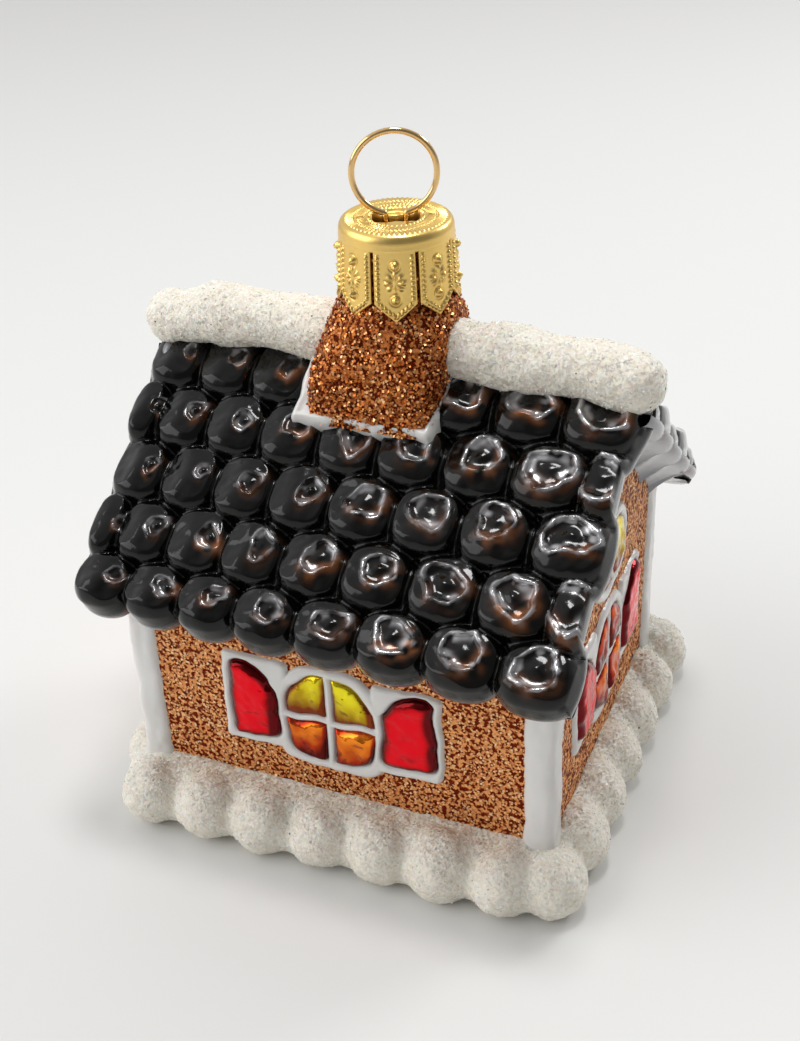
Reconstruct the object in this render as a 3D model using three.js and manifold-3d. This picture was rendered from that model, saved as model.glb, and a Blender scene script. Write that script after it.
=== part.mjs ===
// A blown-glass tree ornament in the shape of a small gingerbread house: one moulded glass body
// with a snow foot, four walls, a scalloped roof, a snow roll on the ridge and a chimney that
// turns into the neck, a stamped metal cap over that neck, and a wire loop held by the cap.
// Millimetres, +Z up. The front wall faces -Y and the ridge runs along X. The origin lies on the
// surface that the ornament stands on, below the middle of its outline.
import * as THREE from "three";
import { mergeVertices } from "three/addons/utils/BufferGeometryUtils.js";
import Module from "manifold-3d";

const wasm = await Module();
wasm.setup();

// ---- Driving dimensions -----------------------------------------------------------------------

// The walls end inside the roof, this far under the line that its scallops are counted from.
const WALL = { halfLength: 25.2, halfDepth: 21.0, foot: 4.5, buried: 2.6 };

const POST = { width: 3.7, proud: 0.5, round: 1.2 };

// The foot is a flat plinth with a string of snow lumps round it. Each row of lumps runs between
// two middles, and the four rows together go once round the house.
const FOOT = { top: 6.9, levels: [0, 1.5, 3.4, 5.3], lump: { radius: 4.0, half: 4.0, middle: 3.4 } };
const FOOT_ROWS = [
  { from: [-22.9, -24.4], to: [20.9, -24.4], count: 7 },
  { from: [26.0, -22.8], to: [26.4, 22.6], count: 7 },
  { from: [22.9, 24.4], to: [-20.9, 24.4], count: 7 },
  { from: [-26.4, 22.8], to: [-26.4, -17.2], count: 6 },
];

// A roof slope is given by a line near the tops of its scallops: it starts above the eave and
// climbs at the pitch angle. Heights across the slope are counted from that line.
const ROOF = {
  eaveY: 25.7,
  eaveZ: 32.2,
  pitch: THREE.MathUtils.degToRad(38.85),
  rows: 5,
  rowStep: 7.03,
  firstRow: 1.2,
  under: -3.7,
  past: 0.4,
};
const VERGE = { left: -28.7, right: 28.3 };

// A full row holds eight scallops, which widen a little towards the right. Each is a dome that
// reaches past its share of the row, and its lower end stands a little higher than its upper end.
const SCALLOP = { perRow: 8, growth: 0.145, reach: 0.7, half: 4.6, dome: 4.2, base: -2.2, lean: 0.1 };
// The eave hangs down in one curve for each scallop of the lowest row.
const EAVE = { crease: -0.8, hang: 1.9, edge: -2.3 };

// The snow roll on the ridge swells and sways a little, and falls towards the right.
const RIDGE = {
  halfLength: 27.0,
  middle: 0.21,
  z: 55.1,
  radius: 3.45,
  swell: { size: 0.05, turns: 0.55 },
  sway: { size: 0.25, turns: 0.3 },
  fall: 0.013,
  core: { half: 1.8, inset: 0.8, depth: 4 },
};

// The chimney is a rounded block at the roof and a round neck under the cap.
const NECK = { x: 0.9, radius: 5.6, top: 67.7 };
const CHIMNEY = {
  foot: { x: -1.2, halfX: 8.6, halfY: 7.3, z: 46.0, corner: 7.0 },
  collar: { x: 0.7, half: 6.8, z: 59.2, corner: 2.2 },
  shoulder: 60.8,
};
const FLASHING = { left: -10.3, right: 8.0, lowest: 23.6, top: 1.7 };

const CAP = {
  top: 69.3,
  plate: 0.6,
  flat: 5.3,
  shoulder: 1.2,
  upper: 6.15,
  lower: 6.5,
  wall: 0.55,
  tip: 60.0,
  point: 1.9,
  slotTop: 67.5,
  slotWidth: 0.35,
  tabs: 8,
  sides: 32,
  turn: THREE.MathUtils.degToRad(19.5),
  dish: { radius: 2.9, depth: 0.35 },
  slot: { length: 5.2, width: 1.7, depth: 3 },
};

const LOOP = {
  radius: 4.5,
  wire: 0.7,
  z: 73.9,
  opening: THREE.MathUtils.degToRad(17),
  pinch: 0.35,
  legEnd: 68.05,
  turn: THREE.MathUtils.degToRad(23),
};

// One window group is two arched shutters and a leaded window between them, all on one raised
// frame. Its sizes are counted from the group's middle, x along the wall and y up. The group
// stands a little higher on a gable than on a long wall.
const WINDOW = {
  middle: { longWall: 18.0, gable: 19.2 },
  frame: { left: -13.5, right: 12.7, sill: -5.8, bottom: -7.4, top: 6.3, border: 1.1, proud: 0.45 },
  pane: { proud: 0.55, bevel: 0.3 },
  arch: { left: -6.0, right: 4.7, bottom: -5.9, spring: 1.2, top: 5.6, lead: 0.9, crossbar: -0.5 },
  shutter: { width: 5.6, gap: 0.95, bottom: -4.6, spring: 1.6, top: 5.6, corner: 0.3 },
};
const ATTIC = { middle: 32.8, halfWidth: 4.4, bottom: -3.6, spring: -0.6, top: 3.6, frame: 0.9 };
// How deep every plate on a wall is let into it.
const SEAT = 0.5;

// ---- Solids ------------------------------------------------------------------------------------

// A closed three.js geometry as a solid that can be joined and cut.
function solid(geometry) {
  const bare = geometry.clone();
  bare.deleteAttribute("normal");
  bare.deleteAttribute("uv");
  const merged = mergeVertices(bare, 1e-4);
  return new wasm.Manifold(
    new wasm.Mesh({
      numProp: 3,
      vertProperties: new Float32Array(merged.attributes.position.array),
      triVerts: new Uint32Array(merged.index.array),
    }),
  );
}

// A solid's surface as a three.js geometry.
function surface(made) {
  const mesh = made.getMesh();
  const points = new Float32Array(mesh.numVert * 3);
  for (let i = 0; i < mesh.numVert; i++) {
    const start = i * mesh.numProp;
    points.set(mesh.vertProperties.subarray(start, start + 3), i * 3);
  }
  const geometry = new THREE.BufferGeometry();
  geometry.setAttribute("position", new THREE.BufferAttribute(points, 3));
  geometry.setIndex(new THREE.BufferAttribute(mesh.triVerts, 1));
  geometry.computeVertexNormals();
  return geometry;
}

const join = (solids) => solids.reduce((whole, next) => whole.add(next));

function block([x0, x1], [y0, y1], [z0, z1]) {
  const geometry = new THREE.BoxGeometry(x1 - x0, y1 - y0, z1 - z0);
  geometry.translate((x0 + x1) / 2, (y0 + y1) / 2, (z0 + z1) / 2);
  return solid(geometry);
}

// A skin over closed rings of equally many points, closed by a fan at each end.
function loft(rings) {
  const count = rings[0].length;
  const points = rings.flat();
  const faces = [];
  const middle = (ring) =>
    ring.reduce((sum, p) => sum.add(p), new THREE.Vector3()).divideScalar(count);
  for (let r = 0; r + 1 < rings.length; r++) {
    for (let i = 0; i < count; i++) {
      const a = r * count + i;
      const b = r * count + ((i + 1) % count);
      faces.push(a, b, b + count, a, b + count, a + count);
    }
  }
  const last = (rings.length - 1) * count;
  points.push(middle(rings[0]), middle(rings.at(-1)));
  for (let i = 0; i < count; i++) {
    const next = (i + 1) % count;
    faces.push(points.length - 2, next, i);
    faces.push(points.length - 1, last + i, last + next);
  }
  const geometry = new THREE.BufferGeometry();
  geometry.setFromPoints(points);
  geometry.setIndex(faces);
  return solid(geometry);
}

// A slab between two grids of points, top and bottom, both as columns of equally many points.
function slab(top, bottom) {
  const columns = top.length;
  const rows = top[0].length;
  const points = [...top.flat(), ...bottom.flat()];
  const upper = (i, j) => i * rows + j;
  const lower = (i, j) => columns * rows + i * rows + j;
  const faces = [];
  const quad = (a, b, c, d) => faces.push(a, b, c, a, c, d);
  for (let i = 0; i + 1 < columns; i++) {
    for (let j = 0; j + 1 < rows; j++) {
      quad(upper(i, j), upper(i + 1, j), upper(i + 1, j + 1), upper(i, j + 1));
      quad(lower(i, j), lower(i, j + 1), lower(i + 1, j + 1), lower(i + 1, j));
    }
    quad(lower(i, 0), lower(i + 1, 0), upper(i + 1, 0), upper(i, 0));
    quad(upper(i, rows - 1), upper(i + 1, rows - 1), lower(i + 1, rows - 1), lower(i, rows - 1));
  }
  for (let j = 0; j + 1 < rows; j++) {
    quad(upper(0, j), upper(0, j + 1), lower(0, j + 1), lower(0, j));
    const end = columns - 1;
    quad(lower(end, j), lower(end, j + 1), upper(end, j + 1), upper(end, j));
  }
  const geometry = new THREE.BufferGeometry();
  geometry.setFromPoints(points);
  geometry.setIndex(faces);
  return geometry;
}

// An outline in the XY plane, raised by depth along +Z, with an optional rounded edge.
function raised(shape, depth, bevel = 0) {
  const options = {
    depth: depth - bevel,
    bevelEnabled: bevel > 0,
    bevelThickness: bevel,
    bevelSize: bevel,
    bevelOffset: -bevel,
    bevelSegments: 1,
    curveSegments: 3,
  };
  return new THREE.ExtrudeGeometry(shape, options);
}

// ---- Outlines ----------------------------------------------------------------------------------

function rectangle(left, right, bottom, top) {
  const shape = new THREE.Shape();
  shape.moveTo(left, bottom);
  shape.lineTo(right, bottom);
  shape.lineTo(right, top);
  shape.lineTo(left, top);
  shape.closePath();
  return shape;
}

function roundedRectangle(halfX, halfY, radius) {
  const shape = new THREE.Shape();
  shape.moveTo(-halfX + radius, -halfY);
  shape.lineTo(halfX - radius, -halfY);
  shape.absarc(halfX - radius, -halfY + radius, radius, -Math.PI / 2, 0);
  shape.lineTo(halfX, halfY - radius);
  shape.absarc(halfX - radius, halfY - radius, radius, 0, Math.PI / 2);
  shape.lineTo(-halfX + radius, halfY);
  shape.absarc(-halfX + radius, halfY - radius, radius, Math.PI / 2, Math.PI);
  shape.lineTo(-halfX, -halfY + radius);
  shape.absarc(-halfX + radius, -halfY + radius, radius, Math.PI, Math.PI * 1.5);
  return shape;
}

// Upright sides that end in one arched top.
function archway(left, right, bottom, spring, top) {
  const shape = new THREE.Shape();
  const middle = (left + right) / 2;
  shape.moveTo(left, bottom);
  shape.lineTo(right, bottom);
  shape.lineTo(right, spring);
  shape.quadraticCurveTo(right, top, middle, top);
  shape.quadraticCurveTo(left, top, left, spring);
  shape.closePath();
  return shape;
}

// A shutter is straight on its outer side, and its top falls in a curve to the window.
function shutterOutline(outer, inner, { bottom, spring, top, corner }) {
  const shape = new THREE.Shape();
  const cut = (inner - outer) * corner;
  const shoulder = cut * 0.6;
  const drop = Math.abs(shoulder) * 0.5;
  shape.moveTo(outer + cut, bottom);
  shape.lineTo(inner, bottom);
  shape.lineTo(inner, spring);
  shape.quadraticCurveTo(inner - shoulder, top - drop, outer + shoulder, top);
  shape.lineTo(outer, top - drop);
  shape.lineTo(outer, bottom + Math.abs(cut));
  shape.closePath();
  return shape;
}

// ---- Glass body --------------------------------------------------------------------------------

// A geometry drawn on an upright wall: x runs along the wall, y up, and +Z out of it.
function onWall(geometry, side, up) {
  const placed = geometry.clone();
  placed.translate(0, up, 0);
  placed.rotateX(Math.PI / 2);
  const wallDistance = side % 2 ? WALL.halfLength : WALL.halfDepth;
  placed.translate(0, -wallDistance, 0);
  placed.rotateZ((side * Math.PI) / 2);
  return solid(placed);
}

// An outline on a wall, from inside the wall to its own height over it.
function wallPlate(shape, proud, bevel, side, up) {
  const geometry = raised(shape, proud + SEAT, bevel);
  geometry.translate(0, 0, -SEAT);
  return onWall(geometry, side, up);
}

function windowGroup(side) {
  const { frame, pane, arch, shutter, middle } = WINDOW;
  const up = side % 2 ? middle.gable : middle.longWall;
  const { left, right, bottom, spring, top, lead, crossbar } = arch;
  const { border } = frame;
  const borders = [
    rectangle(frame.left, left, frame.sill, frame.top),
    rectangle(right, frame.right, frame.sill, frame.top),
    archway(left - border, right + border, frame.bottom, spring, top + border),
  ];
  const { gap, width } = shutter;
  const shutters = [
    shutterOutline(left - gap - width, left - gap, shutter),
    shutterOutline(right + gap + width, right + gap, shutter),
  ];
  const proud = frame.proud + pane.proud;
  const split = (left + right) / 2;
  const bar = lead / 2;
  const bars = [
    rectangle(split - bar, split + bar, bottom - lead, top + lead),
    rectangle(left - lead, right + lead, crossbar - bar, crossbar + bar),
  ];
  const grooves = bars.map((shape) => {
    const geometry = raised(shape, proud + SEAT);
    geometry.translate(0, 0, frame.proud);
    return onWall(geometry, side, up);
  });
  const panes = wallPlate(archway(left, right, bottom, spring, top), proud, 0, side, up);
  return join([
    ...borders.map((shape) => wallPlate(shape, frame.proud, 0, side, up)),
    ...shutters.map((shape) => wallPlate(shape, proud, pane.bevel, side, up)),
    panes.subtract(join(grooves)),
  ]);
}

function atticWindow(side) {
  const { halfWidth: half, bottom, spring, top, frame, middle } = ATTIC;
  const { frame: rim, pane } = WINDOW;
  const outer = archway(-half - frame, half + frame, bottom - frame, spring, top + frame);
  const inner = archway(-half, half, bottom, spring, top);
  return join([
    wallPlate(outer, rim.proud, 0, side, middle),
    wallPlate(inner, rim.proud + pane.proud, pane.bevel, side, middle),
  ]);
}

// Middles of the snow lumps, once round the house, anticlockwise from above.
function lumpMiddles() {
  return FOOT_ROWS.flatMap(({ from, to, count }) =>
    Array.from({ length: count }, (_, i) =>
      new THREE.Vector2(...from).lerp(new THREE.Vector2(...to), i / (count - 1)),
    ),
  );
}

// The foot's outline at one height: round each lump's middle, with a crease half way between two.
function footRing(z) {
  const { radius, half, middle } = FOOT.lump;
  const size = radius * Math.sqrt(Math.max(0, 1 - ((z - middle) / half) ** 2));
  const middles = lumpMiddles();
  const count = middles.length;
  const outward = (k) => {
    const along = middles[(k + 1) % count].clone().sub(middles[(k + count - 1) % count]);
    return new THREE.Vector2(along.y, -along.x).normalize();
  };
  const perLump = 6;
  return middles.flatMap((here, k) => {
    const next = middles[(k + 1) % count];
    const gap = here.distanceTo(next);
    return Array.from({ length: perLump }, (_, q) => {
      const share = q / perLump;
      const away = gap * Math.min(share, 1 - share);
      const bulge = Math.sqrt(Math.max(0, size * size - away * away));
      const normal = outward(k).lerp(outward((k + 1) % count), share).normalize();
      const point = here.clone().lerp(next, share).addScaledVector(normal, bulge);
      return new THREE.Vector3(point.x, point.y, z);
    });
  });
}

function foot() {
  return loft([...FOOT.levels, FOOT.top].map(footRing));
}

// Height of the scallop line of a roof slope over the floor, at a distance from the ridge plane.
const slopeLine = (y) => ROOF.eaveZ + (ROOF.eaveY - Math.abs(y)) * Math.tan(ROOF.pitch);

function walls() {
  const { halfLength, halfDepth, foot: bottom, buried } = WALL;
  const profile = new THREE.Shape();
  profile.moveTo(-halfDepth, bottom);
  profile.lineTo(halfDepth, bottom);
  profile.lineTo(halfDepth, slopeLine(halfDepth) - buried);
  profile.lineTo(0, slopeLine(0) - buried);
  profile.lineTo(-halfDepth, slopeLine(halfDepth) - buried);
  profile.closePath();
  const gableHouse = raised(profile, halfLength * 2);
  gableHouse.translate(0, 0, -halfLength);
  gableHouse.rotateX(Math.PI / 2);
  gableHouse.rotateZ(Math.PI / 2);
  return solid(gableHouse);
}

function posts() {
  const half = POST.width / 2;
  const height = slopeLine(WALL.halfDepth) - WALL.buried - WALL.foot;
  const offset = half - POST.proud;
  return [-1, 1].flatMap((sideX) =>
    [-1, 1].map((sideY) => {
      const post = raised(roundedRectangle(half, half, POST.round), height);
      post.translate(
        sideX * (WALL.halfLength - offset),
        sideY * (WALL.halfDepth - offset),
        WALL.foot,
      );
      return solid(post);
    }),
  );
}

// Places a solid made for the front slope (x along the eave, y up the slope, z out of it).
function onSlope(geometry, isBack) {
  const placed = geometry.clone();
  placed.rotateX(ROOF.pitch);
  placed.translate(0, -ROOF.eaveY, ROOF.eaveZ);
  if (isBack) placed.rotateZ(Math.PI);
  return solid(placed);
}

// Where the scallops of one row meet, with half ones at both verges in every second row.
function scallopEdges(row) {
  const { perRow, growth } = SCALLOP;
  const edge = (k) => {
    const share = THREE.MathUtils.clamp(k / perRow, 0, 1);
    return THREE.MathUtils.lerp(VERGE.left, VERGE.right, share * (1 - growth + growth * share));
  };
  const shift = row % 2 ? 0.5 : 0;
  const count = row % 2 ? perRow + 2 : perRow + 1;
  return Array.from({ length: count }, (_, k) => edge(k - shift));
}

// Every scallop of a slope: its middle along the row and up the slope, and its half width.
function scallops() {
  return Array.from({ length: ROOF.rows }, (_, row) => {
    const edges = scallopEdges(row);
    return edges.slice(1).map((right, k) => ({
      x: (edges[k] + right) / 2,
      up: ROOF.firstRow + row * ROOF.rowStep,
      half: (right - edges[k]) / 2,
    }));
  }).flat();
}

// How far the roof's skin stands out at a place on the slope: the highest of all domes there.
function roofHeight(x, up, domes) {
  const { reach, half, dome, base, lean } = SCALLOP;
  return domes.reduce((highest, scallop) => {
    const across = (x - scallop.x) / (scallop.half + reach);
    const along = (up - scallop.up) / half;
    const inside = 1 - across * across - along * along;
    const height = inside > 0 ? base + dome * Math.sqrt(inside) - lean * (up - scallop.up) : base;
    return Math.max(highest, height);
  }, SCALLOP.base);
}

function roofSlope(isBack) {
  const perScallop = 4;
  const domes = scallops();
  const edges = scallopEdges(0);
  const lowest = domes.filter((scallop) => scallop.up === ROOF.firstRow);
  const columns = edges.slice(1).flatMap((right, k) =>
    Array.from({ length: perScallop }, (_, q) => THREE.MathUtils.lerp(edges[k], right, q / perScallop)),
  );
  columns.push(edges.at(-1));
  const start = ROOF.firstRow - ROOF.rowStep / 2;
  const ridgeAt = ROOF.eaveY / Math.cos(ROOF.pitch) + ROOF.past;
  const ups = Array.from({ length: ROOF.rows * perScallop }, (_, j) =>
    start + (j * ROOF.rowStep) / perScallop,
  );
  ups.push(ridgeAt);
  const top = columns.map((x, i) => {
    const over = lowest[Math.min(Math.floor(i / perScallop), lowest.length - 1)];
    const hang = EAVE.hang * Math.sqrt(Math.max(0, 1 - ((x - over.x) / over.half) ** 2));
    return ups.map((up, j) =>
      j === 0
        ? new THREE.Vector3(x, EAVE.crease - hang, EAVE.edge)
        : new THREE.Vector3(x, up, roofHeight(x, up, domes)),
    );
  });
  const mitre = Math.tan(ROOF.pitch);
  const bottom = top.map((column) =>
    column.map((point, j) => {
      const up = j === 0 ? EAVE.crease : point.y;
      return new THREE.Vector3(point.x, Math.min(up, ridgeAt + ROOF.under * mitre), ROOF.under);
    }),
  );
  return onSlope(slab(top, bottom), isBack);
}

function ridgeSnow() {
  const { halfLength, middle, z, radius, swell, sway, fall } = RIDGE;
  const steps = 12;
  const around = 10;
  const endSizes = [0.38, 0.72, 0.93];
  const stations = [];
  endSizes.forEach((size) => {
    const out = radius * Math.sqrt(1 - size * size);
    stations.push({ x: -halfLength - out, size });
    stations.push({ x: halfLength + out, size });
  });
  for (let i = 0; i <= steps; i++) {
    stations.push({ x: -halfLength + (2 * halfLength * i) / steps, size: 1 });
  }
  stations.sort((a, b) => a.x - b.x);
  const rings = stations.map(({ x, size }) => {
    const r = radius * size * (1 + swell.size * Math.sin(x * swell.turns));
    const lift = sway.size * Math.sin(x * sway.turns) - fall * x;
    return Array.from({ length: around }, (_, i) => {
      const angle = (2 * Math.PI * i) / around;
      return new THREE.Vector3(middle + x, r * Math.cos(angle), z + lift + r * Math.sin(angle));
    });
  });
  return loft(rings);
}

// The core under the snow roll fills the ridge between the two slopes.
function ridgeCore() {
  const { half, inset, depth } = RIDGE.core;
  return block(
    [VERGE.left + inset, VERGE.right - inset],
    [-half, half],
    [slopeLine(half) - depth, RIDGE.z],
  );
}

// A closed ring between a circle (corner 2) and a rounded square (corner above 4).
function roundedRing(x, halfX, halfY, z, corner, count = 20) {
  return Array.from({ length: count }, (_, i) => {
    const angle = (2 * Math.PI * i) / count;
    const cos = Math.cos(angle);
    const sin = Math.sin(angle);
    const reach = (Math.abs(cos) ** corner + Math.abs(sin) ** corner) ** (-1 / corner);
    return new THREE.Vector3(x + halfX * cos * reach, halfY * sin * reach, z);
  });
}

function chimney() {
  const { foot: low, collar, shoulder } = CHIMNEY;
  const rings = [];
  const steps = 4;
  for (let i = 0; i <= steps; i++) {
    const share = i / steps;
    const taper = share ** 1.5;
    rings.push(
      roundedRing(
        THREE.MathUtils.lerp(low.x, collar.x, taper),
        THREE.MathUtils.lerp(low.halfX, collar.half, taper),
        THREE.MathUtils.lerp(low.halfY, collar.half, taper),
        THREE.MathUtils.lerp(low.z, collar.z, share),
        THREE.MathUtils.lerp(low.corner, collar.corner, taper),
      ),
    );
  }
  rings.push(roundedRing(NECK.x, NECK.radius, NECK.radius, shoulder, 2));
  rings.push(roundedRing(NECK.x, NECK.radius, NECK.radius, NECK.top, 2));
  return loft(rings);
}

function flashing(isBack) {
  const { left, right, lowest, top } = FLASHING;
  const buried = 2;
  const highest = ROOF.eaveY / Math.cos(ROOF.pitch);
  const x = isBack ? [-right, -left] : [left, right];
  const sheet = new THREE.BoxGeometry(x[1] - x[0], highest - lowest, top + buried);
  sheet.translate((x[0] + x[1]) / 2, (lowest + highest) / 2, (top - buried) / 2);
  return onSlope(sheet, isBack);
}

function glassBody() {
  return join([
    foot(),
    walls(),
    ...posts(),
    roofSlope(false),
    roofSlope(true),
    ridgeCore(),
    ridgeSnow(),
    flashing(false),
    flashing(true),
    chimney(),
    ...[0, 1, 2, 3].map(windowGroup),
    ...[1, 3].map(atticWindow),
  ]);
}

// ---- Metal cap ---------------------------------------------------------------------------------

function capShell() {
  const { top, plate, flat, shoulder, upper, lower, wall, tip, dish } = CAP;
  const knee = { out: flat + (upper - flat) * 0.7, drop: shoulder * 0.3 };
  const outline = [
    [0, top - dish.depth],
    [dish.radius - dish.depth, top - dish.depth],
    [dish.radius, top],
    [flat, top],
    [knee.out, top - knee.drop],
    [upper, top - shoulder],
    [lower, tip],
    [lower - wall, tip],
    [upper - wall, top - shoulder],
    [knee.out - wall, top - plate - knee.drop],
    [flat - wall, top - plate],
    [0, top - plate - dish.depth],
  ];
  const points = outline.reverse().map(([x, y]) => new THREE.Vector2(x, y));
  const shell = new THREE.LatheGeometry(points, CAP.sides);
  shell.rotateX(Math.PI / 2);
  return solid(shell);
}

// What is cut away between two neighbouring tabs: a narrow slot that opens into a notch.
function tabGap(index) {
  const { tabs, tip, point, slotTop, slotWidth, lower, turn } = CAP;
  const halfSlot = slotWidth / 2;
  const halfTab = lower * Math.tan(Math.PI / tabs);
  const below = tip - 1;
  const notch = new THREE.Shape();
  notch.moveTo(-halfSlot, slotTop);
  notch.lineTo(-halfSlot, tip + point);
  notch.lineTo(-halfTab, tip);
  notch.lineTo(-halfTab, below);
  notch.lineTo(halfTab, below);
  notch.lineTo(halfTab, tip);
  notch.lineTo(halfSlot, tip + point);
  notch.lineTo(halfSlot, slotTop);
  notch.closePath();
  const inner = lower / 2;
  const cutter = raised(notch, lower);
  cutter.translate(0, 0, inner);
  cutter.rotateX(Math.PI / 2);
  cutter.rotateZ(turn + ((index + 0.5) * 2 * Math.PI) / tabs);
  return solid(cutter);
}

function metalCap() {
  const gaps = Array.from({ length: CAP.tabs }, (_, i) => tabGap(i));
  const { length, width, depth } = CAP.slot;
  const slot = block(
    [-length / 2, length / 2],
    [-width / 2, width / 2],
    [CAP.top - depth, CAP.top + depth],
  );
  const turned = surface(slot).rotateZ(LOOP.turn);
  return capShell().subtract(join([...gaps, solid(turned)]));
}

// ---- Wire loop ---------------------------------------------------------------------------------

// The loop is a ring left open at the bottom, and both ends dip through the cap's slot.
function wireLoop() {
  const { radius, wire, z, opening, pinch, legEnd, turn } = LOOP;
  const start = -Math.PI / 2 + opening;
  const sweep = 2 * Math.PI - 2 * opening;
  const arcSteps = 28;
  const tubeSteps = 44;
  const legX = radius * Math.cos(start) - pinch;
  const path = [new THREE.Vector3(legX, 0, legEnd)];
  for (let i = 0; i <= arcSteps; i++) {
    const angle = start + (sweep * i) / arcSteps;
    path.push(new THREE.Vector3(radius * Math.cos(angle), 0, z + radius * Math.sin(angle)));
  }
  path.push(new THREE.Vector3(-legX, 0, legEnd));
  const section = new THREE.Shape();
  section.absarc(0, 0, wire / 2, 0, Math.PI * 2);
  const tube = new THREE.ExtrudeGeometry(section, {
    steps: tubeSteps,
    curveSegments: 4,
    extrudePath: new THREE.CatmullRomCurve3(path, false, "centripetal"),
  });
  tube.rotateZ(turn);
  return solid(tube);
}

// ---- Object ------------------------------------------------------------------------------------

const glass = new THREE.MeshStandardMaterial({ color: 0x7a4524, roughness: 0.45, metalness: 0.1 });
const gold = new THREE.MeshStandardMaterial({ color: 0xd9b45c, roughness: 0.35, metalness: 1 });
const brassWire = new THREE.MeshStandardMaterial({ color: 0xc79a4e, roughness: 0.2, metalness: 1 });

function named(name, made, material) {
  const mesh = new THREE.Mesh(surface(made), material);
  mesh.name = name;
  return mesh;
}

const ornament = new THREE.Group();
ornament.name = "gingerbread_house_ornament";
ornament.add(named("glass_body", glassBody(), glass));

const fittings = new THREE.Group();
fittings.position.x = NECK.x;
fittings.add(named("metal_cap", metalCap(), gold));
fittings.add(named("wire_loop", wireLoop(), brassWire));
ornament.add(fittings);

export default ornament;
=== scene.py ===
"""Fine shapes and finishes of a small mirrored glass tree ornament made as a gingerbread house.

Sizes in the classes are millimetres in the ornament's own frame: +Z up, the front wall towards
-Y, the ridge along X, the origin on the table below the middle. Meshes are written in metres.
"""
import itertools
import logging
import math
from collections.abc import Sequence
from dataclasses import dataclass, field
from enum import Enum

import bpy
import numpy as np
from mathutils import Matrix, Vector


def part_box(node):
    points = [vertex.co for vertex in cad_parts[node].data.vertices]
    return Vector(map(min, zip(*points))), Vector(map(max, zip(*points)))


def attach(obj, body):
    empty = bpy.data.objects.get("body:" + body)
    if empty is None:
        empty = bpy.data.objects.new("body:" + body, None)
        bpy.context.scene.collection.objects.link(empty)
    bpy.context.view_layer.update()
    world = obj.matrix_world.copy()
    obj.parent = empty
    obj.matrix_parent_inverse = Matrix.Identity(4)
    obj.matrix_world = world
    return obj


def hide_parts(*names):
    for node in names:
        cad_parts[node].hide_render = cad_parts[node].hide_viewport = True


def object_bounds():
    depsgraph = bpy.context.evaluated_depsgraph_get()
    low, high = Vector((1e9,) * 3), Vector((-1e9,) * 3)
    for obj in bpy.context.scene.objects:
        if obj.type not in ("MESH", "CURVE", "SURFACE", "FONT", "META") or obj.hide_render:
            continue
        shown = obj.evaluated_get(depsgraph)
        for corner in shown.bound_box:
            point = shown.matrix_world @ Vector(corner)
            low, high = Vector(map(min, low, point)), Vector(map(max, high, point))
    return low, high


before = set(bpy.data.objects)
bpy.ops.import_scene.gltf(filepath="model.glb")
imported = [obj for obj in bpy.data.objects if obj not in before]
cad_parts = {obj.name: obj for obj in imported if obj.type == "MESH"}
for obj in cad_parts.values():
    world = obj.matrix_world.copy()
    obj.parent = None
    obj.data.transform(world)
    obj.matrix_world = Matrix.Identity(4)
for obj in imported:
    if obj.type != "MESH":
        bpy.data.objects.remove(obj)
CAD_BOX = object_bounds()

MM = 0.001
ROOT = "root"
log = logging.getLogger("ornament")

Array = np.ndarray
Color = tuple[float, float, float]


class Slot(Enum):
    """The material slots that pieces take their finish from."""

    GLITTER = "copper_glitter"
    ROOF = "roof_lacquer"
    SNOW = "snow_frost"
    PAINT = "white_paint"
    RED = "window_red"
    YELLOW = "window_yellow"
    ORANGE = "window_orange"
    CAP = "gold_cap"
    WIRE = "brass_wire"


class Side(Enum):
    """The four walls, in quarter turns from the front one."""

    FRONT = 0
    RIGHT = 1
    BACK = 2
    LEFT = 3


# ---- Numbers --------------------------------------------------------------------------------


def box_mm(node: str) -> tuple[Array, Array]:
    """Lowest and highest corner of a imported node.

    Args:
        node: The node's name.

    Returns:
        Two points in millimetres.
    """
    low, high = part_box(node)
    return np.array(low) / MM, np.array(high) / MM


def smoothstep(low: float, high: float, value: Array) -> Array:
    """An S-shaped rise from 0 at low to 1 at high.

    Args:
        low: Where the rise starts.
        high: Where it ends.
        value: The places asked for.

    Returns:
        Values between 0 and 1.
    """
    share = np.clip((value - low) / (high - low), 0.0, 1.0)
    return share * share * (3.0 - 2.0 * share)


def mix(start: Array | float, end: Array | float, share: Array) -> Array:
    """A straight run from start, at share 0, to end, at share 1."""
    return start + (end - start) * share


def bell(value: Array, middle: float, width: float) -> Array:
    """A smooth bump of height 1 at its middle."""
    return np.exp(-(((value - middle) / width) ** 2))


def ball_top(away: Array) -> Array:
    """Height of a unit ball at a distance from its middle, and 0 outside it."""
    return np.sqrt(np.clip(1 - away**2, 0, 1))


def rolled_edge(inside: Array) -> Array:
    """A quarter round that starts upright at 0 and is level from 1 on."""
    share = np.clip(inside, 0, 1)
    return np.sqrt(share * (2 - share))


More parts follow.
